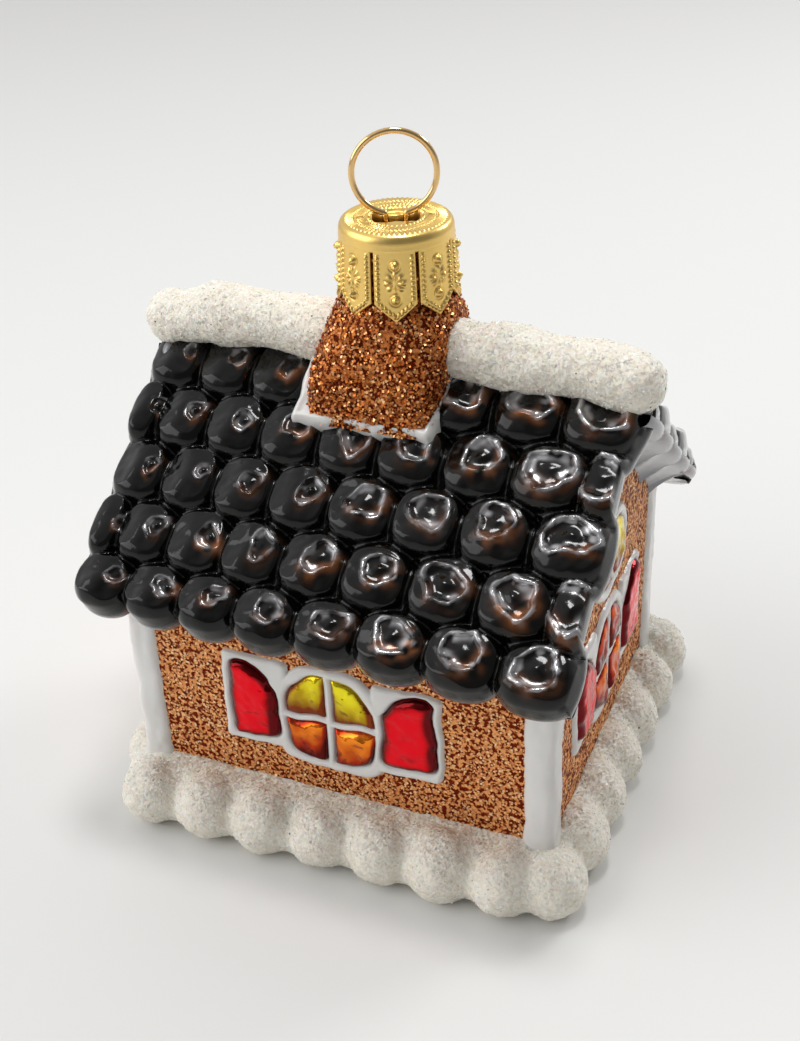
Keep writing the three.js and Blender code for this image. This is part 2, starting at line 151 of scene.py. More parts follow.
def noise(points: Array, cell: float, seed: int) -> Array:
    """Smooth, repeatable noise on a lattice.

    Args:
        points: Places, with x, y and z in the last axis.
        cell: Width of one lattice cell.
        seed: Picks another field of noise.

    Returns:
        Values between -1 and 1, one for each place.
    """
    scaled = points / cell
    base = np.floor(scaled).astype(np.int64)
    share = scaled - base
    share = share * share * (3.0 - 2.0 * share)
    total = np.zeros(points.shape[:-1])
    for corner in itertools.product((0, 1), repeat=3):
        place = base + np.array(corner)
        mixed = place[..., 0] * 73856093 ^ place[..., 1] * 19349663 ^ place[..., 2] * 83492791
        mixed = (mixed ^ seed * 2654435761) & 0xFFFFFFFF
        mixed = ((mixed ^ (mixed >> 15)) * 2246822519) & 0xFFFFFFFF
        mixed = ((mixed ^ (mixed >> 13)) * 3266489917) & 0xFFFFFFFF
        value = ((mixed >> 8) & 0xFFFF) / 32767.5 - 1.0
        weight = np.prod(np.where(np.array(corner), share, 1.0 - share), axis=-1)
        total += weight * value
    return total


def stack(*parts: Array) -> Array:
    """Joins coordinate arrays into one array of points.

    Args:
        parts: x, y and z arrays that fit one shape.

    Returns:
        Points, with x, y and z in the last axis.
    """
    return np.stack(np.broadcast_arrays(*parts), axis=-1).astype(float)


def round_box(u: Array, v: Array, box: Sequence[float], radius: float) -> Array:
    """Signed distance to a rounded rectangle, positive inside.

    Args:
        u: Places across.
        v: Places up.
        box: Left, right, bottom and top.
        radius: Corner radius.

    Returns:
        The distances.
    """
    left, right, bottom, top = box
    out_u = np.abs(u - (left + right) / 2) - (right - left) / 2 + radius
    out_v = np.abs(v - (bottom + top) / 2) - (top - bottom) / 2 + radius
    outside = np.hypot(np.maximum(out_u, 0), np.maximum(out_v, 0))
    return radius - outside - np.minimum(np.maximum(out_u, out_v), 0)


def squared_circle(turn: Array, corner: Array | float) -> tuple[Array, Array, Array]:
    """A circle that is pushed out towards a square.

    Args:
        turn: Directions round it.
        corner: How square it is, where 2 is round.

    Returns:
        Cosines and sines of the directions, and how far the outline reaches.
    """
    cos, sin = np.cos(turn), np.sin(turn)
    return cos, sin, (np.abs(cos) ** corner + np.abs(sin) ** corner) ** (-1 / corner)


def round_turn(count: int) -> Array:
    """Even steps once round, the last one short of the first."""
    return np.linspace(0, 2 * np.pi, count, endpoint=False)


# ---- Meshes ---------------------------------------------------------------------------------


def touched_faces(above: Array) -> Array:
    """Which faces of a grid have at least one corner where above is true."""
    return above[:-1, :-1] | above[1:, :-1] | above[1:, 1:] | above[:-1, 1:]


def link(thing: bpy.types.Object) -> bpy.types.Object:
    """Puts a new object into the scene."""
    bpy.context.collection.objects.link(thing)
    return thing


def add_mesh(name: str, points: Array, faces: Array) -> bpy.types.Object:
    """Makes an object from corners and faces.

    Args:
        name: The piece's name.
        points: The corners, in millimetres.
        faces: Four corner numbers for each face.

    Returns:
        The new object, linked to the scene.
    """
    mesh = bpy.data.meshes.new(name)
    mesh.from_pydata((points * MM).tolist(), [], faces.tolist())
    return link(bpy.data.objects.new(name, mesh))


@dataclass
class Sheet:
    """A grid of points that becomes a mesh of four-sided faces.

    The outside is where the first axis, turned towards the second, shows anticlockwise.
    """

    points: Array
    closed_first: bool = False
    closed_second: bool = False
    keep: Array | None = None
    layers: dict[str, Array] = field(default_factory=dict)

    def faces(self) -> Array:
        """The corners of every face as vertex numbers.

        Returns:
            Four numbers for each face.
        """
        rows, columns = self.points.shape[:2]
        index = np.arange(rows * columns).reshape(rows, columns)
        if self.closed_first:
            index = np.vstack([index, index[:1]])
        if self.closed_second:
            index = np.hstack([index, index[:, :1]])
        corners = (index[:-1, :-1], index[1:, :-1], index[1:, 1:], index[:-1, 1:])
        faces = np.stack(corners, axis=-1)
        return faces[self.keep] if self.keep is not None else faces.reshape(-1, 4)


def make_piece(name: str, sheets: Sequence[Sheet]) -> bpy.types.Object:
    """Makes one object from sheets of points.

    Args:
        name: The piece's name.
        sheets: The sheets, in millimetres, all with the same layers.

    Returns:
        The new object, linked to the scene.
    """
    points = np.concatenate([sheet.points.reshape(-1, 3) for sheet in sheets])
    starts = np.cumsum([0] + [sheet.points.shape[0] * sheet.points.shape[1] for sheet in sheets])
    faces = np.concatenate([sheet.faces() + start for sheet, start in zip(sheets, starts)])
    used, compact = np.unique(faces, return_inverse=True)
    piece = add_mesh(name, points[used], compact.reshape(-1, 4))
    for layer in sheets[0].layers:
        values = np.concatenate([sheet.layers[layer].reshape(-1) for sheet in sheets])
        attribute = piece.data.attributes.new(layer, "FLOAT", "POINT")
        attribute.data.foreach_set("value", values[used].astype(np.float32))
    piece.data.validate()
    shade_smooth(piece)
    return piece


def shade_smooth(piece: bpy.types.Object) -> None:
    """Shades a piece's faces as one surface."""
    polygons = piece.data.polygons
    polygons.foreach_set("use_smooth", [True] * len(polygons))


def finish_piece(
    piece: bpy.types.Object, material: bpy.types.Material
) -> bpy.types.Object:
    """Gives a piece its material and its body.

    Args:
        piece: The piece.
        material: What it is painted with.

    Returns:
        The same piece.
    """
    piece.data.materials.clear()
    piece.data.materials.append(material)
    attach(piece, ROOT)
    log.info("%s: %d faces", piece.name, len(piece.data.polygons))
    return piece


def apply_modifiers(piece: bpy.types.Object) -> None:
    """Turns a piece's modifiers into plain mesh.

    Args:
        piece: The piece.
    """
    graph = bpy.context.evaluated_depsgraph_get()
    made = bpy.data.meshes.new_from_object(piece.evaluated_get(graph))
    old = piece.data
    piece.modifiers.clear()
    piece.data = made
    bpy.data.meshes.remove(old)


def vertex_vectors(piece: bpy.types.Object, what: str) -> Array:
    """Reads one vector for each vertex.

    Args:
        piece: The piece.
        what: The vertex property, co or normal.

    Returns:
        The vectors as Blender holds them.
    """
    flat = np.empty(len(piece.data.vertices) * 3)
    piece.data.vertices.foreach_get(what, flat)
    return flat.reshape(-1, 3)


def mesh_points(piece: bpy.types.Object) -> Array:
    """The places of a piece's vertices, in millimetres."""
    return vertex_vectors(piece, "co") / MM


def move_points(piece: bpy.types.Object, points: Array) -> None:
    """Puts a piece's vertices at new places.

    Args:
        piece: The piece.
        points: The places, in millimetres.
    """
    piece.data.vertices.foreach_set("co", (points * MM).ravel())
    piece.data.update()


def roughen(piece: bpy.types.Object, cells: Sequence[tuple[float, float]], seed: int) -> None:
    """Pushes a surface in and out by several sizes of noise.

    Args:
        piece: The piece.
        cells: Pairs of cell width and depth, in millimetres.
        seed: Picks the noise.
    """
    points = mesh_points(piece)
    depth = sum(
        amount * noise(points, cell, seed + k) for k, (cell, amount) in enumerate(cells)
    )
    move_points(piece, points + vertex_vectors(piece, "normal") * depth[:, None])


# ---- Shader groups and finishes -------------------------------------------------------------


@dataclass
class Bench:
    """A short hand for placing and joining the nodes of one tree."""

    tree: bpy.types.NodeTree

    def add(self, kind: str, links: dict | None = None, **settings: object) -> bpy.types.Node:
        """Places a node.

        Args:
            kind: The node's type, without the leading ShaderNode.
            links: Input name or number to a socket that feeds it, or to a plain value.
            settings: Properties of the node.

        Returns:
            The new node.
        """
        node = self.tree.nodes.new("ShaderNode" + kind)
        for key, value in settings.items():
            setattr(node, key, value)
        self.feed(node, links or {})
        return node

    def feed(self, node: bpy.types.Node, links: dict) -> None:
        """Fills inputs of a node.

        Args:
            node: The node.
            links: Input name or number to a socket that feeds it, or to a plain value.
        """
        for key, value in links.items():
            if isinstance(value, bpy.types.NodeSocket):
                self.tree.links.new(value, node.inputs[key])
            else:
                node.inputs[key].default_value = value

    def math(self, operation: str, first: object, second: object = 0.0) -> bpy.types.NodeSocket:
        """One step of arithmetic.

        Args:
            operation: The Math node's operation.
            first: A socket or a number.
            second: A socket or a number.

        Returns:
            The result's socket.
        """
        return self.add("Math", {0: first, 1: second}, operation=operation).outputs[0]

    def scaled(self, value: object, factor: float, offset: float) -> bpy.types.NodeSocket:
        """A value times a factor, plus an offset."""
        return self.math("ADD", self.math("MULTIPLY", value, factor), offset)

    def clipped(self, value: object) -> bpy.types.NodeSocket:
        """A value kept between 0 and 1."""
        return self.math("MINIMUM", self.math("MAXIMUM", value, 0.0), 1.0)

    def rise(self, value: object, ends: tuple[float, float]) -> bpy.types.NodeSocket:
        """A straight rise from 0 to 1 between two values."""
        links = {"Value": value, "From Min": ends[0], "From Max": ends[1]}
        return self.add("MapRange", links).outputs[0]

    def layer(self, name: str) -> bpy.types.NodeSocket:
        """The number that a mesh layer holds at each place."""
        return self.add("Attribute", attribute_name=name).outputs["Fac"]

    def blend(self, share: object, first: object, second: object) -> bpy.types.NodeSocket:
        """Mixes two colours.

        Args:
            share: How much of the second one.
            first: A socket or a colour.
            second: A socket or a colour.

        Returns:
            The colour's socket.
        """
        node = self.add("Mix", {0: share}, data_type="RGBA")
        for key, value in ((6, first), (7, second)):
            is_socket = isinstance(value, bpy.types.NodeSocket)
            self.feed(node, {key: value if is_socket else (*value, 1.0)})
        return node.outputs[2]

    def ramp(
        self, value: bpy.types.NodeSocket, stops: Sequence[tuple[float, Color]]
    ) -> bpy.types.NodeSocket:
        """A run of colours along a value.

        Args:
            value: The value's socket.
            stops: Places between 0 and 1 with their colours.

        Returns:
            The colour's socket.
        """
        node = self.add("ValToRGB", {0: value})
        elements = node.color_ramp.elements
        while len(elements) < len(stops):
            elements.new(1.0)
        for element, (place, color) in zip(elements, stops):
            element.position = place
            element.color = (*color, 1.0)
        return node.outputs[0]


class Effects:
    """The shader groups that several finishes share, each built once."""

    def __init__(self) -> None:
        """Builds every group."""
        self.grain_tree = self._grain()
        self.crystal_tree = self._crystals()

    def grain(self, bench: Bench, per_metre: float, coarse: float) -> bpy.types.Node:
        """Places the uneven grain in a material.

        Args:
            bench: The material's bench.
            per_metre: Grains for each metre.
            coarse: Share of the coarse noise in the height.

        Returns:
            The group's node.
        """
        values = {"Per Metre": per_metre, "Coarse Share": coarse}
        return bench.add("Group", values, node_tree=self.grain_tree)

    def crystals(self, bench: Bench, per_metre: float, tilt: float) -> bpy.types.Node:
        """Places the crystal facets in a material.

        Args:
            bench: The material's bench.
            per_metre: Facets for each metre.
            tilt: How far they lean.

        Returns:
            The group's node.
        """
        values = {"Per Metre": per_metre, "Tilt": tilt}
        return bench.add("Group", values, node_tree=self.crystal_tree)

    @staticmethod
    def _group(
        name: str, inputs: dict[str, float], outputs: Sequence[tuple[str, str]]
    ) -> tuple[Bench, bpy.types.Node, bpy.types.Node]:
        """Starts a group.

        Args:
            name: The group's name.
            inputs: Names of number inputs with their defaults.
            outputs: Names of outputs with their socket kinds.

        Returns:
            A bench on the group's tree, its input node and its output node.
        """
        tree = bpy.data.node_groups.new(name, "ShaderNodeTree")
        for key, value in inputs.items():
            socket = tree.interface.new_socket(key, in_out="INPUT", socket_type="NodeSocketFloat")
            socket.default_value = value
        for key, kind in outputs:
            tree.interface.new_socket(key, in_out="OUTPUT", socket_type=kind)
        start = tree.nodes.new("NodeGroupInput")
        end = tree.nodes.new("NodeGroupOutput")
        return Bench(tree), start, end

    def _grain(self) -> bpy.types.NodeTree:
        """Uneven grain: a fine and a coarse noise in one height and one mask.

        Returns:
            The group.
        """
        bench, start, end = self._group(
            "uneven_grain",
            {"Per Metre": 1000.0, "Coarse Share": 0.4},
            (("Height", "NodeSocketFloat"), ("Mask", "NodeSocketFloat")),
        )
        place = bench.add("TexCoord").outputs["Object"]
        fine = bench.add("TexNoise", {"Vector": place, "Scale": start.outputs[0], "Detail": 3.0})
        wide = bench.math("MULTIPLY", start.outputs[0], 0.12)
        coarse = bench.add("TexNoise", {"Vector": place, "Scale": wide, "Detail": 2.0})
        both = bench.add(
            "Mix", {0: start.outputs[1], 2: fine.outputs[0], 3: coarse.outputs[0]}
        ).outputs[0]
        bench.feed(end, {"Height": both, "Mask": coarse.outputs[0]})
        return bench.tree

    def _crystals(self) -> bpy.types.NodeTree:
        """Small facets, each with a tilt and a number of its own.

        Returns:
            The group.
        """
        bench, start, end = self._group(
            "crystal_facets",
            {"Per Metre": 3000.0, "Tilt": 0.5},
            (("Normal", "NodeSocketVector"), ("Facet", "NodeSocketFloat")),
        )
        place = bench.add("TexCoord").outputs["Object"]
        cells = bench.add("TexVoronoi", {"Vector": place, "Scale": start.outputs[0]})
        centred = bench.add(
            "VectorMath", {0: cells.outputs["Color"], 1: (0.5, 0.5, 0.5)}, operation="SUBTRACT"
        )
        tilted = bench.add(
            "VectorMath", {0: centred.outputs[0], "Scale": start.outputs[1]}, operation="SCALE"
        )
        normal = bench.add("NewGeometry").outputs["Normal"]
        summed = bench.add("VectorMath", {0: normal, 1: tilted.outputs[0]}, operation="ADD")
        unit = bench.add("VectorMath", {0: summed.outputs[0]}, operation="NORMALIZE")
        number = bench.add("SeparateColor", {0: cells.outputs["Color"]}).outputs[0]
        bench.feed(end, {"Normal": unit.outputs[0], "Facet": number})
        return bench.tree


def new_material(name: str) -> tuple[bpy.types.Material, Bench, bpy.types.Node]:
    """Starts a material.

    Args:
        name: Its name.

    Returns:
        The material, a bench on its tree, and its surface shader.
    """
    material = bpy.data.materials.new(name)
    material.use_nodes = True
    bench = Bench(material.node_tree)
    shader = next(n for n in material.node_tree.nodes if n.type == "BSDF_PRINCIPLED")
    return material, bench, shader


def bump(
    bench: Bench, height: bpy.types.NodeSocket, depth: float, normal: object = None
) -> bpy.types.NodeSocket:
    """Turns a height into a normal.

    Args:
        bench: The material's bench.
        height: The height's socket.
        depth: How deep a height of 1 is, in millimetres.
        normal: A normal's socket to start from.

    Returns:
        The normal's socket.
    """
    links = {"Height": height, "Distance": depth * MM, "Strength": 1.0}
    if normal is not None:
        links["Normal"] = normal
    return bench.add("Bump", links).outputs[0]


@dataclass(frozen=True)
class Frost:
    """Snow paint: off-white, full of fine clear facets that glint."""

    light: Color = (0.98, 0.95, 0.87)
    dark: Color = (0.81, 0.74, 0.60)
    roughness: float = 0.42
    facets_per_metre: float = 3600.0
    tilt: float = 0.8
    grain_per_metre: float = 2600.0
    depth: float = 0.22
    contrast: float = 1.9
    gloss: float = 0.8
    milky: float = 0.12
    milky_depth: float = 1.5

    def make(self, effects: Effects) -> bpy.types.Material:
        """Builds the material.

        Args:
            effects: The shared groups.

        Returns:
            The material.
        """
        material, bench, shader = new_material("snow_frost")
        facets = effects.crystals(bench, self.facets_per_metre, self.tilt)
        grain = effects.grain(bench, self.grain_per_metre, 0.3)
        tone = bench.math("MULTIPLY", facets.outputs["Facet"], grain.outputs["Height"])
        shade = bench.math("MULTIPLY", tone, self.contrast)
        normal = bump(bench, grain.outputs["Height"], self.depth, facets.outputs["Normal"])
        look = {
            "Base Color": bench.blend(shade, self.dark, self.light),
            "Normal": normal,
            "Roughness": self.roughness,
            "Specular IOR Level": self.gloss,
            "Subsurface Weight": self.milky,
            "Subsurface Scale": self.milky_depth * MM,
        }
        bench.feed(shader, look)
        return material


@dataclass(frozen=True)
class Paint:
    """Raised white paint: satin, a little cloudy."""

    light: Color = (0.83, 0.82, 0.80)
    dark: Color = (0.72, 0.705, 0.68)
    roughness: float = 0.3
    grain_per_metre: float = 700.0
    depth: float = 0.05
    coat: float = 0.35
    coat_roughness: float = 0.15
    milky: float = 0.2
    milky_depth: float = 1.0

    def make(self, effects: Effects) -> bpy.types.Material:
        """Builds the material.

        Args:
            effects: The shared groups.

        Returns:
            The material.
        """
        material, bench, shader = new_material("white_paint")
        grain = effects.grain(bench, self.grain_per_metre, 0.5)
        look = {
            "Base Color": bench.blend(grain.outputs["Mask"], self.dark, self.light),
            "Normal": bump(bench, grain.outputs["Height"], self.depth),
            "Roughness": self.roughness,
            "Coat Weight": self.coat,
            "Coat Roughness": self.coat_roughness,
            "Subsurface Weight": self.milky,
            "Subsurface Scale": self.milky_depth * MM,
        }
        bench.feed(shader, look)
        return material


@dataclass(frozen=True)
class GlitterGround:
    """Brown paint that the copper flakes are strewn on."""

    name: str = "glitter_ground"
    dark: Color = (0.17, 0.012, 0.0)
    light: Color = (1.0, 0.44, 0.155)
    cover: float = 0.485
    roughness: float = 0.42
    facets_per_metre: float = 3000.0
    patches_per_metre: float = 2000.0
    edge_sharpness: float = 22.0
    depth: float = 0.1
    metallic: float = 0.3
    gloss: float = 0.05

    def make(self, effects: Effects) -> bpy.types.Material:
        """Builds the material.

        Args:
            effects: The shared groups.

        Returns:
            The material.
        """
        material, bench, shader = new_material(self.name)
        facets = effects.crystals(bench, self.facets_per_metre, 0.7)
        grain = effects.grain(bench, self.facets_per_metre, 0.3)
        patches = effects.grain(bench, self.patches_per_metre, 0.12)
        edge = bench.math("ADD", patches.outputs["Height"], -self.cover)
        patch = bench.clipped(bench.math("MULTIPLY", edge, self.edge_sharpness))
        varied = bench.math("MULTIPLY", bench.math("ADD", facets.outputs["Facet"], 1.2), 0.5)
        look = {
            "Base Color": bench.blend(
                bench.math("MULTIPLY", patch, varied), self.dark, self.light
            ),
            "Normal": bump(
                bench, grain.outputs["Height"], self.depth, facets.outputs["Normal"]
            ),
            "Roughness": self.roughness,
            "Metallic": self.metallic,
            "Specular IOR Level": self.gloss,
        }
        bench.feed(shader, look)
        return material


@dataclass(frozen=True)
class FlakeFinish:
    """Loose flakes: each one has its own shade."""

    name: str
    stops: tuple[tuple[float, Color], ...]
    roughness: float = 0.3
    metallic: float = 1.0

    def make(self) -> bpy.types.Material:
        """Builds the material.

        Returns:
            The material.
        """
        material, bench, shader = new_material(self.name)
        number = bench.add("NewGeometry").outputs["Random Per Island"]
        look = {
            "Base Color": bench.ramp(number, self.stops),
            "Roughness": self.roughness,
            "Metallic": self.metallic,
        }
        bench.feed(shader, look)
        return material


@dataclass(frozen=True)
class RoofLacquer:
    """Black lacquer on mirrored glass. On the crowns it shows coppery and steel-grey metal, partly
    wear and partly painted reflection, and silver rims, partly wear and partly painted highlight.
    """

    black: Color = (0.0012, 0.0012, 0.001)
    silver: Color = (0.74, 0.73, 0.75)
    copper: Color = (0.58, 0.20, 0.06)
    steel: Color = (0.21, 0.215, 0.225)
    plum: Color = (0.25, 0.115, 0.105)
    roughness: float = 0.16
    worn_roughness: float = 0.22
    grain_per_metre: float = 900.0
    depth: float = 0.05
    gloss: float = 0.12
    coat_roughness: float = 0.085
    coat_ior: float = 1.28

    def make(self, effects: Effects) -> bpy.types.Material:
        """Builds the material.

        Args:
            effects: The shared groups.

        Returns:
            The material.
        """
        material, bench, shader = new_material("roof_lacquer")
        grain = effects.grain(bench, self.grain_per_metre, 0.4)
        cloud = bench.scaled(grain.outputs["Height"], 1.6, -0.3)
        # Painted reflection: the warm layer turns the tint copper on each crown's lower right and
        # steel grey on its upper left; the cloud noise adds random variation.
        warmth = bench.math("MULTIPLY", bench.layer("warm"), 0.6)
        tint = bench.ramp(
            bench.math("ADD", bench.math("MULTIPLY", cloud, 0.7), warmth),
            ((0.0, self.steel), (0.35, self.plum), (0.8, self.copper)),
        )
        streaky = bench.math("MULTIPLY", cloud, 1.15)
        # Coppery and steel-grey metal where the lacquer shows through: partly wear, partly painted
        # reflection.
        wear_and_sheen_share = bench.clipped(bench.math("MULTIPLY", bench.layer("wear_and_sheen"), streaky))
        # Silver crests on the dents' rims: partly wear, partly painted highlight.
        crest = bench.layer("crest")
        normal = bump(bench, grain.outputs["Height"], self.depth)
        look = {
            "Base Color": bench.blend(crest, bench.blend(wear_and_sheen_share, self.black, tint), self.silver),
            "Metallic": bench.math("MAXIMUM", bench.math("MULTIPLY", wear_and_sheen_share, 0.9), crest),
            "Roughness": bench.scaled(wear_and_sheen_share, self.worn_roughness, self.roughness),
            "Normal": normal,
            "Coat Normal": normal,
            "Specular IOR Level": self.gloss,
            "Coat Weight": 1.0,
            "Coat Roughness": self.coat_roughness,
            "Coat IOR": self.coat_ior,
        }
        bench.feed(shader, look)
        return material


@dataclass(frozen=True)
class TintedGlass:
    """Clear coloured lacquer over mirrored glass, with painted shade and highlight from the tone
    layer: darker towards the bottom and along the edges, lighter at the top.
    """

    name: str
    foot: Color
    middle: Color
    head: Color
    roughness: float = 0.1
    stir: float = 1.05
    grain_per_metre: float = 500.0
    depth: float = 0.5
    metallic: float = 0.9
    gloss: float = 0.1
    coat: float = 0.18
    coat_roughness: float = 0.04

    def make(self, effects: Effects) -> bpy.types.Material:
        """Builds the material.

        Args:
            effects: The shared groups.

        Returns:
            The material.
        """
        material, bench, shader = new_material(self.name)
        grain = effects.grain(bench, self.grain_per_metre, 0.6)
        swirl = bench.math("MULTIPLY", bench.math("ADD", grain.outputs["Height"], -0.5), self.stir)
        stirred = bench.math("ADD", bench.layer("tone"), swirl)
        # The ramp turns the tone layer into painted shade at the foot and painted highlight at the
        # head.
        stops = ((0.12, self.foot), (0.45, self.middle), (0.85, self.head))
        look = {
            "Base Color": bench.ramp(stirred, stops),
            "Normal": bump(bench, grain.outputs["Height"], self.depth),
            "Metallic": self.metallic,
            "Roughness": self.roughness,
            "Specular IOR Level": self.gloss,
            "Coat Weight": self.coat,
            "Coat Roughness": self.coat_roughness,
        }
        bench.feed(shader, look)
        return material


@dataclass(frozen=True)
class Metal:
    """Bare or gilt metal with fine marks."""

    name: str
    light: Color
    dark: Color
    roughness: float
    grain_per_metre: float = 1500.0
    depth: float = 0.02
    shadow: Color = (0.10, 0.025, 0.008)

    def make(self, effects: Effects) -> bpy.types.Material:
        """Builds the material.

        Args:
            effects: The shared groups.

        Returns:
            The material.
        """
        material, bench, shader = new_material(self.name)
        grain = effects.grain(bench, self.grain_per_metre, 0.3)
        color = bench.blend(grain.outputs["Mask"], self.dark, self.light)
        # Painted shade: the deep layer darkens the inside of the cap's slot to the shadow colour.
        look = {
            "Base Color": bench.blend(bench.layer("deep"), color, self.shadow),
            "Roughness": bench.scaled(grain.outputs["Height"], 0.12, self.roughness),
            "Normal": bump(bench, grain.outputs["Height"], self.depth),
            "Metallic": 1.0,
        }
        bench.feed(shader, look)
        return material


# ---- Flakes ---------------------------------------------------------------------------------


@dataclass
class FlakeShower:
    """Small flat flakes strewn on a surface, each a little tilted and lifted."""

    name: str
    per_square: float
    width: float
    tilt: float
    lift: tuple[float, float]
    seed: int
    spread: float = 0.35
    narrowest: float = 0.65
    lowest: float = 0.35

    def scatter(
        self, grounds: Sequence[bpy.types.Object], random: np.random.Generator
    ) -> tuple[Array, Array]:
        """Picks evenly spread places on the grounds.

        Args:
            grounds: The pieces that the flakes lie on.
            random: Draws the places.

        Returns:
            The places, and the ground's normals there.
        """
        corners = []
        for ground in grounds:
            ground.data.calc_loop_triangles()
            flat = np.empty(len(ground.data.loop_triangles) * 3, np.int32)
            ground.data.loop_triangles.foreach_get("vertices", flat)
            corners.append(mesh_points(ground)[flat.reshape(-1, 3)])
        triangles = np.concatenate(corners)
        across = np.cross(triangles[:, 1] - triangles[:, 0], triangles[:, 2] - triangles[:, 0])
        area = np.linalg.norm(across, axis=1) / 2
        count = int(self.per_square * area.sum())
        picks = random.choice(len(triangles), size=count, p=area / area.sum())
        first, second = random.random((2, count, 1))
        fold = first + second > 1
        first, second = np.where(fold, 1 - first, first), np.where(fold, 1 - second, second)
        chosen = triangles[picks]
        places = (
            chosen[:, 0]
            + first * (chosen[:, 1] - chosen[:, 0])
            + second * (chosen[:, 2] - chosen[:, 0])
        )
        normals = across[picks] / np.linalg.norm(across[picks], axis=1, keepdims=True)
        places = places + normals * random.uniform(*self.lift, (count, 1))
        kept = places[:, 2] > self.lowest
        return places[kept], normals[kept]

    def build(self, grounds: Sequence[bpy.types.Object]) -> bpy.types.Object:
        """Strews the flakes.

        Args:
            grounds: The pieces that they lie on.

        Returns:
            One piece with all flakes.
        """
        random = np.random.default_rng(self.seed)
        places, normals = self.scatter(grounds, random)
        count = len(places)
        normals = normals + random.normal(0, self.tilt, (count, 3))
        normals /= np.linalg.norm(normals, axis=1, keepdims=True)
        along = np.cross(normals, random.normal(0, 1, (count, 3)))
        along /= np.linalg.norm(along, axis=1, keepdims=True)
        beside = np.cross(normals, along)
        size = self.width / 2 * (1 + random.uniform(-self.spread, self.spread, (count, 1)))
        narrow = size * random.uniform(self.narrowest, 1.0, (count, 1))
        ring = [along * size, beside * narrow, -along * size, -beside * narrow]
        points = np.stack([places + step for step in ring], axis=1).reshape(-1, 3)
        return add_mesh(self.name, points, np.arange(count * 4).reshape(-1, 4))


# ---- House ----------------------------------------------------------------------------------


@dataclass
class House:
    """Sizes that several sub-assemblies share, and the place of every wall."""

    half_length: float = 25.2
    half_depth: float = 21.0
    eave_y: float = 25.7
    eave_z: float = 32.2
    pitch: float = math.radians(38.85)
    verge: tuple[float, float] = (-28.7, 28.3)

    def __post_init__(self) -> None:
        """Reads the outline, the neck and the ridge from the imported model."""
        low, high = box_mm("glass_body")
        cap_low, cap_high = box_mm("metal_cap")
        self.neck_x = float(cap_low[0] + cap_high[0]) / 2
        self.cap_top = float(cap_high[2])
        self.ridge_ends = (float(low[0]), float(high[0]))
        self.slope_length = self.eave_y / math.cos(self.pitch)

    def on_wall(self, u: Array, up: Array, out: Array, side: Side) -> Array:
        """Places points of a wall.

        Args:
            u: Places along the wall, to the right as seen from outside.
            up: Heights over the table.
            out: Distances out of the wall's plane.
            side: Which wall.

        Returns:
            Points.
        """
        plane = self.half_length if side.value % 2 else self.half_depth
        points = stack(u, -(plane + out), up)
        for _ in range(side.value):
            points = stack(-points[..., 1], points[..., 0], points[..., 2])
        return points

    def on_slope(self, x: Array, up: Array, out: Array, is_back: bool) -> Array:
        """Places points of a roof slope.

        Args:
            x: Places along the eave, as on the front slope.
            up: Places up the slope, from the eave line.
            out: Heights across the slope.
            is_back: Whether it is the back slope, which is the front one turned half round.

        Returns:
            Points.
        """
        cos, sin = math.cos(self.pitch), math.sin(self.pitch)
        points = stack(
            x, -self.eave_y + up * cos - out * sin, self.eave_z + up * sin + out * cos
        )
        if is_back:
            points = points * np.array([-1.0, -1.0, 1.0])
        return points


